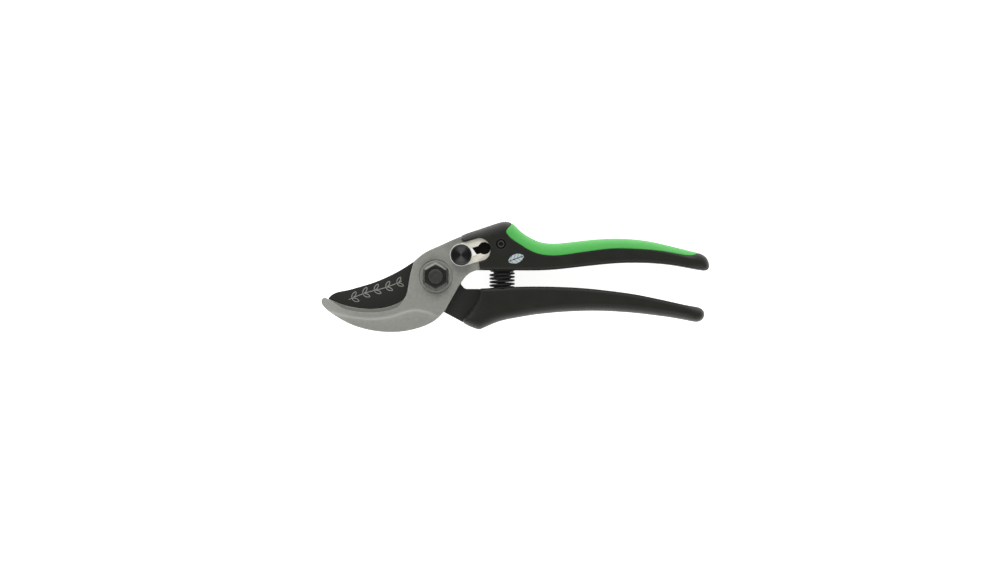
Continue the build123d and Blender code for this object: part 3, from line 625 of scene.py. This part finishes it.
# ------------------------------------------------------------------ etched sprig on the blade
def ribbons(name, lines, width, low, high):
    """Flat closed strips along lines in the plan, each as wide as given, between two heights."""
    verts, faces = [], []
    for line in lines:
        along = np.gradient(line, axis=0)
        along /= np.linalg.norm(along, axis=1)[:, None]
        side = np.stack([-along[:, 1], along[:, 0]], 1) * width / 2
        first, count = len(verts), len(line)
        for p, w in zip(line, side):
            for q, z in ((p - w, low), (p + w, low), (p + w, high), (p - w, high)):
                verts.append((q[0] * MM, q[1] * MM, z * MM))
        for i in range(count - 1):
            a = first + 4 * i
            faces += [(a + j, a + 4 + j, a + 4 + (j + 1) % 4, a + (j + 1) % 4) for j in range(4)]
        faces.append((first, first + 1, first + 2, first + 3))
        last = first + 4 * (count - 1)
        faces.append((last + 3, last + 2, last + 1, last))
    mesh = bpy.data.meshes.new(name)
    mesh.from_pydata(verts, [], faces)
    turned_outwards(mesh)
    return linked(name, mesh)


def placed(points, at, tilt):
    """Points turned by tilt degrees and moved to a place in the plan."""
    c, s = math.cos(math.radians(tilt)), math.sin(math.radians(tilt))
    p = np.array(points, float)
    return np.stack([at[0] + p[:, 0] * c - p[:, 1] * s, at[1] + p[:, 0] * s + p[:, 1] * c], 1)


ETCH_AT, ETCH_TILT, ETCH_L, ETCH_W = (-46.0, -11.9), 18.3, 29.5, 0.34
LEAF_PAIRS, LEAF_SPREAD = 5, 38
etch_lines = [spline([(0, -0.2), (ETCH_L * 0.35, 0.35), (ETCH_L * 0.7, -0.25), (ETCH_L, 0.3)], 0.4)]
for number in range(LEAF_PAIRS):
    foot = 1.6 + number * (ETCH_L - 4.5) / (LEAF_PAIRS - 1)
    stem_y = np.interp(foot, etch_lines[0][:, 0], etch_lines[0][:, 1])
    size = 0.95 - 0.02 * number
    for side in (1, -1):
        arc = np.radians(np.linspace(-52, 52, 9))
        leaf_x = 2.4 + 2.1 * np.sin(arc) / math.sin(arc[-1])
        half = np.stack([leaf_x, 2.2 * (np.cos(arc) - math.cos(arc[-1]))], 1)
        leaf = np.vstack([half, (half * (1, -1))[::-1]])
        etch_lines.append(placed(leaf * size, (foot, stem_y), LEAF_SPREAD * side))
etch_lines = [placed(line, ETCH_AT, ETCH_TILT) for line in etch_lines]
etch = ribbons("etched_sprig", etch_lines, ETCH_W, BLADE_FRONT - 0.05, BLADE_FRONT + 0.02)

# ------------------------------------------------------------------ return spring
# It is made in half turns.
WIRE_SIDES, RINGS_A_TURN = 20, 72
HALF_TURNS = math.ceil(2 * SPRING_TURNS)


def coil_middle(share):
    """Middles of the wire at shares of the coil's height from its foot, and the ways out from its axis."""
    angle = np.asarray(share) * SPRING_TURNS * 2 * math.pi
    outward = np.stack([np.cos(angle), 0 * angle, -np.sin(angle)], -1)
    rise = np.asarray(share) * (SPRING_TOP_Y - SPRING_FOOT_Y - 2 * WIRE_R)
    foot = np.array((SPRING_X, SPRING_FOOT_Y + WIRE_R, GRIP_MID_Z))
    return foot + SPRING_R * outward + rise[..., None] * np.array((0, 1, 0)), outward


def wire(name, first, last):
    """The spring's wire between two shares of the coil's height."""
    rings = max(3, round((last - first) * SPRING_TURNS * RINGS_A_TURN) + 1)
    verts = []
    for m, o in zip(*coil_middle(np.linspace(first, last, rings))):
        for n in range(WIRE_SIDES):
            a = 2 * math.pi * n / WIRE_SIDES
            verts.append((m + WIRE_R * (o * math.cos(a) + np.array((0, 1, 0)) * math.sin(a))) * MM)
    faces = []
    for i in range(rings - 1):
        for j in range(WIRE_SIDES):
            a, b = i * WIRE_SIDES + j, i * WIRE_SIDES + (j + 1) % WIRE_SIDES
            faces.append((a, b, b + WIRE_SIDES, a + WIRE_SIDES))
    faces.append(tuple(range(WIRE_SIDES)))
    faces.append(tuple(range((rings - 1) * WIRE_SIDES, rings * WIRE_SIDES))[::-1])
    mesh = bpy.data.meshes.new(name)
    mesh.from_pydata(verts, [], faces)
    turned_outwards(mesh)
    mesh.shade_smooth()
    mesh.set_sharp_from_angle(angle=math.radians(60))
    return linked(name, mesh)


# ------------------------------------------------------------------ knob
KNOB_BACK, KNOB_TOP = 14.7, 18.7
knob = lathe(
    "knob",
    [
        (0, KNOB_BACK), (5.05, KNOB_BACK), (5.3, KNOB_BACK + 0.2), (5.55, KNOB_BACK + 0.5),
        (5.55, KNOB_TOP - 0.7), (5.45, KNOB_TOP - 0.3), (5.25, KNOB_TOP - 0.08), (4.95, KNOB_TOP),
        (4.85, KNOB_TOP), (4.55, KNOB_TOP - 0.3), (4.3, KNOB_TOP - 0.3), (4.2, KNOB_TOP - 0.5),
        (4.1, KNOB_TOP - 0.5), (4.0, KNOB_TOP - 0.26), (3.2, KNOB_TOP - 0.36), (2.2, KNOB_TOP - 0.5),
        (1.2, KNOB_TOP - 0.6), (0.5, KNOB_TOP - 0.66), (0, KNOB_TOP - 0.67),
    ],
    LOCK_AT,
)


# ------------------------------------------------------------------ pivot nut
NUT_H, NUT_HALF, NUT_BORE_R = 5.0, 6.65, 3.95
NUT_BEVEL, NUT_BEVEL_SLOPE, NUT_DISH_W, NUT_DISH_DEEP = 1.2, 1.1, 0.35, 0.5
NUT_TOP = NUT_BASE + NUT_H


def nut_field(x, y, z):
    sides = [np.radians(60 * n) for n in range(6)]
    flats = [x * math.cos(a) + y * math.sin(a) - NUT_HALF for a in sides]
    hexagon = flats[0]
    for flat in flats[1:]:
        hexagon = smooth_max(hexagon, flat, 0.5)
    f = rounded(hexagon, z - NUT_TOP, 0.25)
    bevel = (hexagon + NUT_BEVEL + (z - NUT_TOP) * NUT_BEVEL_SLOPE) / math.hypot(1, NUT_BEVEL_SLOPE)
    f = smooth_max(f, bevel, 0.2)
    dish = np.maximum(hexagon + NUT_BEVEL + NUT_DISH_W, NUT_TOP - NUT_DISH_DEEP - z)
    f = smooth_max(f, -dish, 0.2)
    f = np.maximum(f, NUT_BORE_R - np.hypot(x, y))
    return np.maximum(f, NUT_BASE - z)


nut = surface(
    "hex_nut",
    nut_field,
    (ruler(-8, 8, 0.17 * FINE), ruler(-8, 8, 0.17 * FINE), ruler(13.7, 19.3, 0.17 * FINE)),
)

# ------------------------------------------------------------------ socket screw
SCREW_FOOT, SCREW_TOP = (corner[2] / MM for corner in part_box("handle_screw"))
SCREW_R, SCREW_HEAD_R, SCREW_HEAD_H, SOCKET_HALF, SOCKET_DEEP = 1.5, 2.0, 1.6, 1.05, 1.1


def screw_field(x, y, z):
    from_axis = from_screw(x, y)
    head = rounded(from_axis - SCREW_HEAD_R, z - SCREW_TOP, 0.4)
    head = np.maximum(head, SCREW_TOP - SCREW_HEAD_H - z)
    shank = np.maximum(np.maximum(from_axis - SCREW_R, SCREW_FOOT - z), z - SCREW_TOP + 1.2)
    hexagon = np.abs(x - SCREW_AT[0]) - SOCKET_HALF
    for angle in (60, 120):
        a = math.radians(angle)
        flat = np.abs((x - SCREW_AT[0]) * math.cos(a) + (y - SCREW_AT[1]) * math.sin(a)) - SOCKET_HALF
        hexagon = np.maximum(hexagon, flat)
    socket = np.maximum(hexagon, SCREW_TOP - SOCKET_DEEP - z)
    return smooth_max(np.minimum(head, shank), -socket, 0.12)


screw = surface(
    "socket_screw",
    screw_field,
    (
        ruler(SCREW_AT[0] - 2.2, SCREW_AT[0] + 2.2, 0.09 * FINE),
        ruler(SCREW_AT[1] - 2.2, SCREW_AT[1] + 2.2, 0.09 * FINE),
        ruler(
            SCREW_FOOT - 0.2, SCREW_TOP + 0.2, 0.4 * FINE, (SCREW_TOP - 2.0, SCREW_TOP + 0.1, 0.09 * FINE)
        ),
    ),
)

# ------------------------------------------------------------------ badge: a plain leaf in raised halves
LEAF_TILT, LEAF_L, LEAF_W = 20.0, 4.5, 2.4
LEAF_BASE, LEAF_PROUD, RIB_HALF, VEIN_HALF = 16.3, 0.12, 0.19, 0.1


def leaf_field(x, y, z):
    c, s = math.cos(math.radians(LEAF_TILT)), math.sin(math.radians(LEAF_TILT))
    u = (x - BADGE_AT[0]) * c + (y - BADGE_AT[1]) * s
    v = -(x - BADGE_AT[0]) * s + (y - BADGE_AT[1]) * c
    reach = (LEAF_L**2 - LEAF_W**2) / (2 * LEAF_W)
    blade_shape = np.maximum(np.hypot(u, v - reach), np.hypot(u, v + reach)) - reach - LEAF_W
    veins = np.abs(np.mod(u - 0.8 * np.abs(v) + 0.4, 2.0) - 1.0) - VEIN_HALF
    rib = np.minimum(np.abs(v) - RIB_HALF, veins)
    plan = np.maximum(blade_shape, -rib)
    f = rounded(plan, upper_shape(x, y, z) - LEAF_PROUD, 0.08)
    return np.maximum(f, LEAF_BASE - z)


leaf_badge = surface(
    "leaf_badge",
    leaf_field,
    (ruler(37, 47, 0.11 * FINE), ruler(5.5, 13, 0.11 * FINE), ruler(16.1, 17.3, 0.11 * FINE)),
)


# ------------------------------------------------------------------ materials
def new_material(name):
    """A material with its nodes and links."""
    m = bpy.data.materials.new(name)
    m.use_nodes = True
    return m, m.node_tree.nodes, m.node_tree.links


def maths(nodes, operation, second=None, third=None):
    """A maths node, with its second and third values where they are given."""
    n = nodes.new("ShaderNodeMath")
    n.operation = operation
    if second is not None:
        n.inputs[1].default_value = second
    if third is not None:
        n.inputs[2].default_value = third
    return n


def map_range(nodes, start, end, low, high, smooth=False):
    """A node that spreads what lies between start and end over low to high."""
    n = nodes.new("ShaderNodeMapRange")
    n.inputs["From Min"].default_value = start
    n.inputs["From Max"].default_value = end
    n.inputs["To Min"].default_value = low
    n.inputs["To Max"].default_value = high
    if smooth:
        n.interpolation_type = "SMOOTHSTEP"
    return n


def colour_mix(nodes, second):
    """A node that mixes two colours, the second one given."""
    n = nodes.new("ShaderNodeMix")
    n.data_type = "RGBA"
    n.inputs["B"].default_value = (*second, 1)
    return n


def noise(nodes, links, coords, scale, detail=3.0, roughness=0.5, stretch=None):
    """Noise from 0 to 1, drawn out where asked."""
    n = nodes.new("ShaderNodeTexNoise")
    n.inputs["Scale"].default_value = scale
    n.inputs["Detail"].default_value = detail
    n.inputs["Roughness"].default_value = roughness
    if stretch:
        mapping = nodes.new("ShaderNodeMapping")
        mapping.inputs["Scale"].default_value = stretch
        links.new(coords, mapping.inputs["Vector"])
        coords = mapping.outputs["Vector"]
    links.new(coords, n.inputs["Vector"])
    return n.outputs["Fac"]


def spread(nodes, links, value, low, high):
    """The value, 0 to 1, spread between low and high."""
    r = map_range(nodes, 0.3, 0.7, low, high)
    links.new(value, r.inputs["Value"])
    return r.outputs["Result"]


def painted_bowtie_highlight(nodes, links, coords, colour, centre):
    """The colour with a painted bow-tie highlight: darker to the left and right of a centre in the plan and
    lighter above and below.
    """
    shift = nodes.new("ShaderNodeMapping")
    shift.inputs["Location"].default_value = (-centre[0] * MM, -centre[1] * MM, 0)
    around = nodes.new("ShaderNodeTexGradient")
    around.gradient_type = "RADIAL"
    wave = maths(nodes, "MULTIPLY", 4 * math.pi)
    cosine = maths(nodes, "COSINE")
    level = map_range(nodes, 0.5, -1.0, 0.4, 1.4, smooth=True)
    scale = nodes.new("ShaderNodeVectorMath")
    scale.operation = "SCALE"
    links.new(coords, shift.inputs["Vector"])
    links.new(shift.outputs["Vector"], around.inputs["Vector"])
    links.new(around.outputs["Fac"], wave.inputs[0])
    links.new(wave.outputs[0], cosine.inputs[0])
    links.new(cosine.outputs[0], level.inputs["Value"])
    links.new(colour, scale.inputs[0])
    links.new(level.outputs["Result"], scale.inputs["Scale"])
    return scale.outputs["Vector"]


def finish(
    name,
    colour,
    roughness,
    metallic=0.0,
    variation=0.12,
    grain=900.0,
    grain_depth=0.00002,
    stretch=None,
    rough_spread=0.08,
    edge=0.0,
    edge_radius=0.0003,
    specular=0.5,
    coat=0.0,
    subsurface=0.0,
    sheen=0.0,
    turned=0.0,
    mottle=45.0,
    highlight_to=None,
    bowtie_highlight_at=None,
):
    """A procedural surface: uneven colour and gloss, fine grain, and painted highlights on edges and where
    asked.
    """
    m, nodes, links = new_material(name)
    bsdf = nodes["Principled BSDF"]
    coords = nodes.new("ShaderNodeTexCoord").outputs["Object"]
    broad = noise(nodes, links, coords, mottle, 4.0)
    fine = noise(nodes, links, coords, grain, 2.0, 0.6, stretch)
    mix = colour_mix(nodes, [min(1, c * (1 + variation)) for c in colour])
    mix.inputs["A"].default_value = (*[c * (1 - variation) for c in colour], 1)
    blend_in = maths(nodes, "MULTIPLY_ADD", 0.5)
    links.new(broad, blend_in.inputs[0])
    half = maths(nodes, "MULTIPLY", 0.5)
    links.new(fine, half.inputs[0])
    links.new(half.outputs[0], blend_in.inputs[2])
    links.new(blend_in.outputs[0], mix.inputs["Factor"])
    out = mix.outputs["Result"]
    # Sharp convex edges get a painted highlight, lightened by up to edge towards a lighter colour.
    if edge:
        geometry = nodes.new("ShaderNodeNewGeometry")
        edge_highlight = map_range(nodes, 0.52, 0.62, 0.0, edge)
        links.new(geometry.outputs["Pointiness"], edge_highlight.inputs["Value"])
        lift = colour_mix(nodes, [min(1, c * 1.6 + 0.03) for c in colour])
        links.new(out, lift.inputs["A"])
        links.new(edge_highlight.outputs["Result"], lift.inputs["Factor"])
        out = lift.outputs["Result"]
    if bowtie_highlight_at is not None:
        out = painted_bowtie_highlight(nodes, links, coords, out, bowtie_highlight_at)
    # Vertices marked in the mesh take a painted highlight colour.
    if highlight_to:
        painted_highlight = nodes.new("ShaderNodeAttribute")
        painted_highlight.attribute_name = "painted_highlight"
        highlighted = colour_mix(nodes, highlight_to)
        links.new(painted_highlight.outputs["Fac"], highlighted.inputs["Factor"])
        links.new(out, highlighted.inputs["A"])
        out = highlighted.outputs["Result"]
    links.new(out, bsdf.inputs["Base Color"])
    uneven = spread(nodes, links, broad, roughness - rough_spread, roughness + rough_spread)
    links.new(uneven, bsdf.inputs["Roughness"])
    bsdf.inputs["Metallic"].default_value = metallic
    bsdf.inputs["Specular IOR Level"].default_value = specular
    bsdf.inputs["Coat Weight"].default_value = coat
    bsdf.inputs["Coat Roughness"].default_value = 0.2
    bsdf.inputs["Sheen Weight"].default_value = sheen
    bsdf.inputs["Sheen Roughness"].default_value = 0.4
    if turned:
        around = nodes.new("ShaderNodeTangent")
        around.direction_type = "RADIAL"
        around.axis = "Z"
        bsdf.inputs["Anisotropic"].default_value = turned
        bsdf.inputs["Anisotropic Rotation"].default_value = 0.25
        links.new(around.outputs[0], bsdf.inputs["Tangent"])
    if subsurface:
        bsdf.inputs["Subsurface Weight"].default_value = subsurface
        bsdf.inputs["Subsurface Radius"].default_value = (0.002, 0.003, 0.0015)
    bump = nodes.new("ShaderNodeBump")
    bump.inputs["Strength"].default_value = 1.0
    bump.inputs["Distance"].default_value = grain_depth
    links.new(fine, bump.inputs["Height"])
    if edge_radius:
        soft = nodes.new("ShaderNodeBevel")
        soft.samples = 4
        soft.inputs["Radius"].default_value = edge_radius
        links.new(soft.outputs["Normal"], bump.inputs["Normal"])
    links.new(bump.outputs["Normal"], bsdf.inputs["Normal"])
    return m


GREY = (0.288, 0.293, 0.266)
BLACK = (0.0125, 0.0125, 0.0102)
# The grey coat's lighter colour is a painted highlight along the hook's crest and edges, and also lightens
# it towards its tip.
grey_coat = finish(
    "grey_coat", GREY, 0.44, 0.3, 0.34, 2400, 0.00006, edge=0.5, edge_radius=0, rough_spread=0.14,
    mottle=650, highlight_to=(0.5, 0.5, 0.47),
)
ground_steel = finish(
    "ground_steel", (0.106, 0.109, 0.094), 0.4, 0.35, 0.25, 2200, 0.00003, (1.0, 0.08, 1.0),
    edge_radius=0,
)
blade_black = finish(
    "blade_black", (0.019, 0.0192, 0.0175), 0.4, 0.0, 0.2, 1800, 0.00002, (0.15, 1.0, 1.0), edge=0.4,
    edge_radius=0,
)
black_plastic = finish(
    "black_plastic", BLACK, 0.42, 0.0, 0.15, 2600, 0.00003, edge=0.25, edge_radius=0, specular=0.42,
    mottle=160,
)
green_rubber = finish(
    "green_rubber", (0.062, 0.36, 0.066), 0.52, 0.0, 0.07, 2200, 0.00004, subsurface=0.05,
    edge_radius=0, sheen=0.1,
)
black_steel = finish(
    "black_steel", (0.15, 0.152, 0.142), 0.22, 0.95, 0.3, 1600, 0.00002, edge=0.2, mottle=500
)
bolt_black = finish(
    "bolt_black", (0.034, 0.035, 0.031), 0.5, 0.0, 0.6, 700, 0.00008, mottle=420, specular=0.3
)
# The nut's lighter colour is a painted highlight on its upper bevels.
nut_black = finish(
    "nut_black", (0.088, 0.089, 0.083), 0.26, 0.95, 0.4, 1400, 0.00004, edge_radius=0, mottle=420,
    highlight_to=(0.2, 0.2, 0.19),
)
spring_black = finish("spring_black", (0.007, 0.007, 0.0065), 0.34, 0.0, 0.2, 1600, 0.00001, edge_radius=0)
# The knob's face has a painted bow-tie highlight, lighter above and below its centre.
knob_black = finish(
    "knob_black", (0.17, 0.17, 0.168), 0.6, 1.0, 0.15, 1500, 0.000008, edge=0.3, edge_radius=0,
    turned=0.95, bowtie_highlight_at=LOCK_AT,
)
knob_rim = finish("knob_rim", (0.014, 0.014, 0.014), 0.3, 0.0, 0.2, 1500, 0.00001)
plain_steel = finish("plain_steel", (0.3, 0.295, 0.28), 0.35, 1.0, 0.1, 1500, 0.00001)
brushed_plate = finish(
    "brushed_plate", (0.9, 0.87, 0.76), 0.34, 0.3, 0.1, 2600, 0.00002, (0.08, 1.0, 1.0), mottle=220
)
polished = finish("polished", (0.96, 0.96, 0.95), 0.2, 0.15, 0.04, 1500, 0.000004)
brass = finish("brass", (0.6, 0.42, 0.18), 0.35, 1.0)
badge_paint = finish("badge_paint", (0.39, 0.45, 0.47), 0.45, 0.0, 0.08, 1500, 0.00001)
bright_bevel = finish(
    "bright_bevel", (0.5, 0.5, 0.49), 0.3, 1.0, 0.12, 2400, 0.00003, (1.0, 0.08, 1.0), edge_radius=0
)
etched_grey = finish("etched_grey", (0.34, 0.34, 0.32), 0.5, 0.2, 0.15, 2600, 0.00001, edge_radius=0)
# Painted shade: a dark finish for the slot under the lock plate and the screw's socket.
painted_recess_shade = finish(
    "painted_recess_shade", (0.015, 0.015, 0.013), 0.6, 0.0, 0.3, 1400, 0.00003, edge_radius=0, specular=0.2
)


BODY_OF = {node: body for body, nodes in frame["record"]["behaviour"]["bodies"].items() for node in nodes}


def paint(obj, material):
    """One material all over an object."""
    obj.data.materials.clear()
    obj.data.materials.append(material)


for obj, node, body, material, slot_name in (
    (sleeve, "upper_handle_sleeve", "upper_handle", black_plastic, "black_moulding"),
    (inlay, "soft_grip_inlay", "upper_handle", green_rubber, "soft_green"),
    (grip, "lower_handle_grip", "lower_handle", black_plastic, "black_moulding"),
    (hook, "hook_body", "upper_handle", grey_coat, "body_grey"),
    (blade, "blade", "lower_handle", blade_black, "blade_black"),
    (knob, "lock_knob", "lock", knob_black, "turned_black"),
    (nut, "pivot_nut", BODY_OF["pivot_nut"], nut_black, "black_fastener"),
    (screw, "handle_screw", "upper_handle", black_steel, "black_fastener"),
    (leaf_badge, "handle_badge", "upper_handle", badge_paint, "badge_print"),
):
    paint(obj, material)
    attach(obj, body)
    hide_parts(node)
paint(etch, etched_grey)
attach(etch, "lower_handle")
for number in range(HALF_TURNS):
    first, last = number / (2 * SPRING_TURNS), min(1, (number + 1) / (2 * SPRING_TURNS))
    half_turn = wire(f"coil_spring_{number + 1}", first, last)
    paint(half_turn, spring_black)
    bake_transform(half_turn)
    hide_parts("return_spring")


def rows(items, what):
    """A property of a mesh's vertices or faces, in rows of three."""
    values = np.zeros(len(items) * 3)
    items.foreach_get(what, values)
    return values.reshape(-1, 3)


def set_painted_highlight(obj, painted_highlight):
    """How much painted highlight each vertex has, from 0 to 1, for a material that has a highlight colour.
    """
    layer = obj.data.attributes.new("painted_highlight", "FLOAT", "POINT")
    layer.data.foreach_set("value", painted_highlight.astype(np.float32))


def set_looks(obj, number, *materials):
    """Further materials for a mesh, and which one each face shows, where 0 is the one it has."""
    for material in materials:
        obj.data.materials.append(material)
    obj.data.polygons.foreach_set("material_index", number.astype(np.int32))


# A highlight is painted along the crest of the hook, and the coat is made lighter towards its tip.
CREST_SHIFT, CREST_WIDTH, CREST_HIGHLIGHT, TIP_LIGHTENING = 0.1, 0.5, 0.55, 0.3
points = rows(hook.data.vertices, "co") / MM
off_crest = region_distance(points[:, 0], points[:, 1], fall_region) + CREST_SHIFT
on_face = ramp(points[:, 2], BODY_FRONT - 2.0, BODY_FRONT - 1.2)
painted_highlight = CREST_HIGHLIGHT * np.exp(-0.5 * (off_crest / CREST_WIDTH) ** 2) * ramp(-points[:, 0], -3, 6)
painted_highlight += TIP_LIGHTENING * ramp(-points[:, 0], 40, 57)
set_painted_highlight(hook, painted_highlight * on_face)

# The black finish of the nut gets a painted highlight on its two upper bevels.
points = rows(nut.data.vertices, "co") / MM
bearing = np.abs(np.degrees(np.arctan2(points[:, 1], points[:, 0])) - 90)
from_axis = np.hypot(points[:, 0], points[:, 1])
bevel_foot = NUT_HALF - NUT_BEVEL
set_painted_highlight(nut, (1 - ramp(bearing, 50, 60)) * ramp(from_axis, bevel_foot, bevel_foot + 0.3))

# Ground steel shows on the narrow bevel of the hook, and shade is painted black into the slot under the
# plate.
SHADED_LOW, SHADED_HIGH, SHADED_HALF = -4, 17, 3.7
centres = rows(hook.data.polygons, "center") / MM
near = line_distance(centres[:, 0], centres[:, 1], GROUND_LINE) < ground_width(centres[:, 0]) - 0.05
lifted = centres[:, 2] > BODY_FRONT - 1.3
on_bevel = near & lifted & (centres[:, 2] < BODY_FRONT - 0.05)
under_plate = lock_box_distance(centres[:, 0], centres[:, 1], SHADED_LOW, SHADED_HIGH, SHADED_HALF) < 0
in_slot = under_plate & (centres[:, 2] < PLATE_BACK - 0.05)
set_looks(hook, np.where(in_slot, 2, np.where(on_bevel, 1, 0)), ground_steel, painted_recess_shade)

# Only the turned face of the knob shines; its rim is plain black.
KNOB_FACE_R = 4.7
centres = rows(knob.data.polygons, "center") / MM
from_axis = np.hypot(centres[:, 0] - LOCK_AT[0], centres[:, 1] - LOCK_AT[1])
set_looks(knob, (from_axis > KNOB_FACE_R) | (centres[:, 2] < KNOB_TOP - 1), knob_rim)

# The socket in the screw's head is dull, with shade painted dark inside.
SOCKET_R = 1.25
centres = rows(screw.data.polygons, "center") / MM
in_socket = (from_screw(centres[:, 0], centres[:, 1]) < SOCKET_R) & (centres[:, 2] < SCREW_TOP - 0.12)
set_looks(screw, in_socket, painted_recess_shade)

# The cutting bevel on the back of the blade is ground bright.
centres = rows(blade.data.polygons, "center") / MM
facing = rows(blade.data.polygons, "normal")
on_edge = line_distance(centres[:, 0], centres[:, 1], CUTTING_EDGE) < BEVEL_W - 0.15
tilted = (facing[:, 2] < -0.4) & (facing[:, 2] > -0.95) & (centres[:, 2] > BLADE_BACK + 0.04)
set_looks(blade, on_edge & tilted, bright_bevel)

# The other CAD pieces show as they are.
nodes_looks = {
    "pivot_bolt": bolt_black,
    "handle_nut": black_steel,
    "lock_plate": brushed_plate,
    "lock_slider": polished,
    "lock_stud": plain_steel,
    "lock_catch": plain_steel,
    "lock_retaining_clip": plain_steel,
    "lock_spring_washer": plain_steel,
    "pivot_washer": plain_steel,
    "pivot_bushing": brass,
    "spring_upper_seat": black_plastic,
    "spring_lower_seat": black_plastic,
}
for node, material in nodes_looks.items():
    obj = frame["nodes"][node]
    obj.data.shade_smooth()
    obj.data.set_sharp_from_angle(angle=math.radians(30))
    paint(obj, material)

# ------------------------------------------------------------------ floor and light
FLOOR, FLOOR_Z = 6.0, -0.0002
floor_mesh = bpy.data.meshes.new("floor")
floor_mesh.from_pydata(
    [(-FLOOR, -FLOOR, 0), (FLOOR, -FLOOR, 0), (FLOOR, FLOOR, 0), (-FLOOR, FLOOR, 0)], [], [(0, 1, 2, 3)]
)
floor = linked("floor", floor_mesh)
floor.location.z = FLOOR_Z
floor_paint, floor_nodes, _ = new_material("floor_paint")
for socket, value in (
    ("Base Color", (0.94, 0.94, 0.94, 1)),
    ("Roughness", 0.8),
    ("Specular IOR Level", 0.1),
    ("Emission Color", (1, 1, 0.99, 1)),
    ("Emission Strength", 0.9),
):
    floor_nodes["Principled BSDF"].inputs[socket].default_value = value
floor_mesh.materials.append(floor_paint)

world = bpy.data.worlds.new("studio")
bpy.context.scene.world = world
world.use_nodes = True
wn, wl = world.node_tree.nodes, world.node_tree.links
background = wn["Background"]
direction = wn.new("ShaderNodeTexCoord")
split = wn.new("ShaderNodeSeparateXYZ")
sky = map_range(wn, -0.1, 0.9, 1.25, 0.5, smooth=True)
# The walls in front and behind are brighter than the ones at the sides, and the far one the brightest.
wall = maths(wn, "ABSOLUTE")
walls = maths(wn, "MULTIPLY_ADD", 0.9, 0.38)
far = maths(wn, "MULTIPLY_ADD", 0.2)
strength = maths(wn, "MULTIPLY")
wl.new(direction.outputs["Generated"], split.inputs[0])
wl.new(split.outputs["Z"], sky.inputs["Value"])
wl.new(split.outputs["Y"], wall.inputs[0])
wl.new(wall.outputs[0], walls.inputs[0])
wl.new(split.outputs["Y"], far.inputs[0])
wl.new(walls.outputs[0], far.inputs[2])
wl.new(sky.outputs["Result"], strength.inputs[0])
wl.new(far.outputs[0], strength.inputs[1])
wl.new(strength.outputs[0], background.inputs["Strength"])
background.inputs["Color"].default_value = (1, 1, 1, 1)


def softbox(name, place, size, power):
    """A lamp aimed at the origin that doesn't show in reflections."""
    data = bpy.data.lights.new(name, "AREA")
    data.shape = "RECTANGLE"
    data.size, data.size_y = size
    data.energy = power
    obj = linked(name, data)
    obj.location = place
    obj.rotation_mode = "QUATERNION"
    obj.rotation_quaternion = (-Vector(place)).to_track_quat("-Z", "Y")
    obj.visible_glossy = False


softbox("key", (-0.15, 1.0, 1.0), (1.0, 0.8), 13)
softbox("fill", (0.4, -1.0, 1.0), (1.0, 0.8), 9)
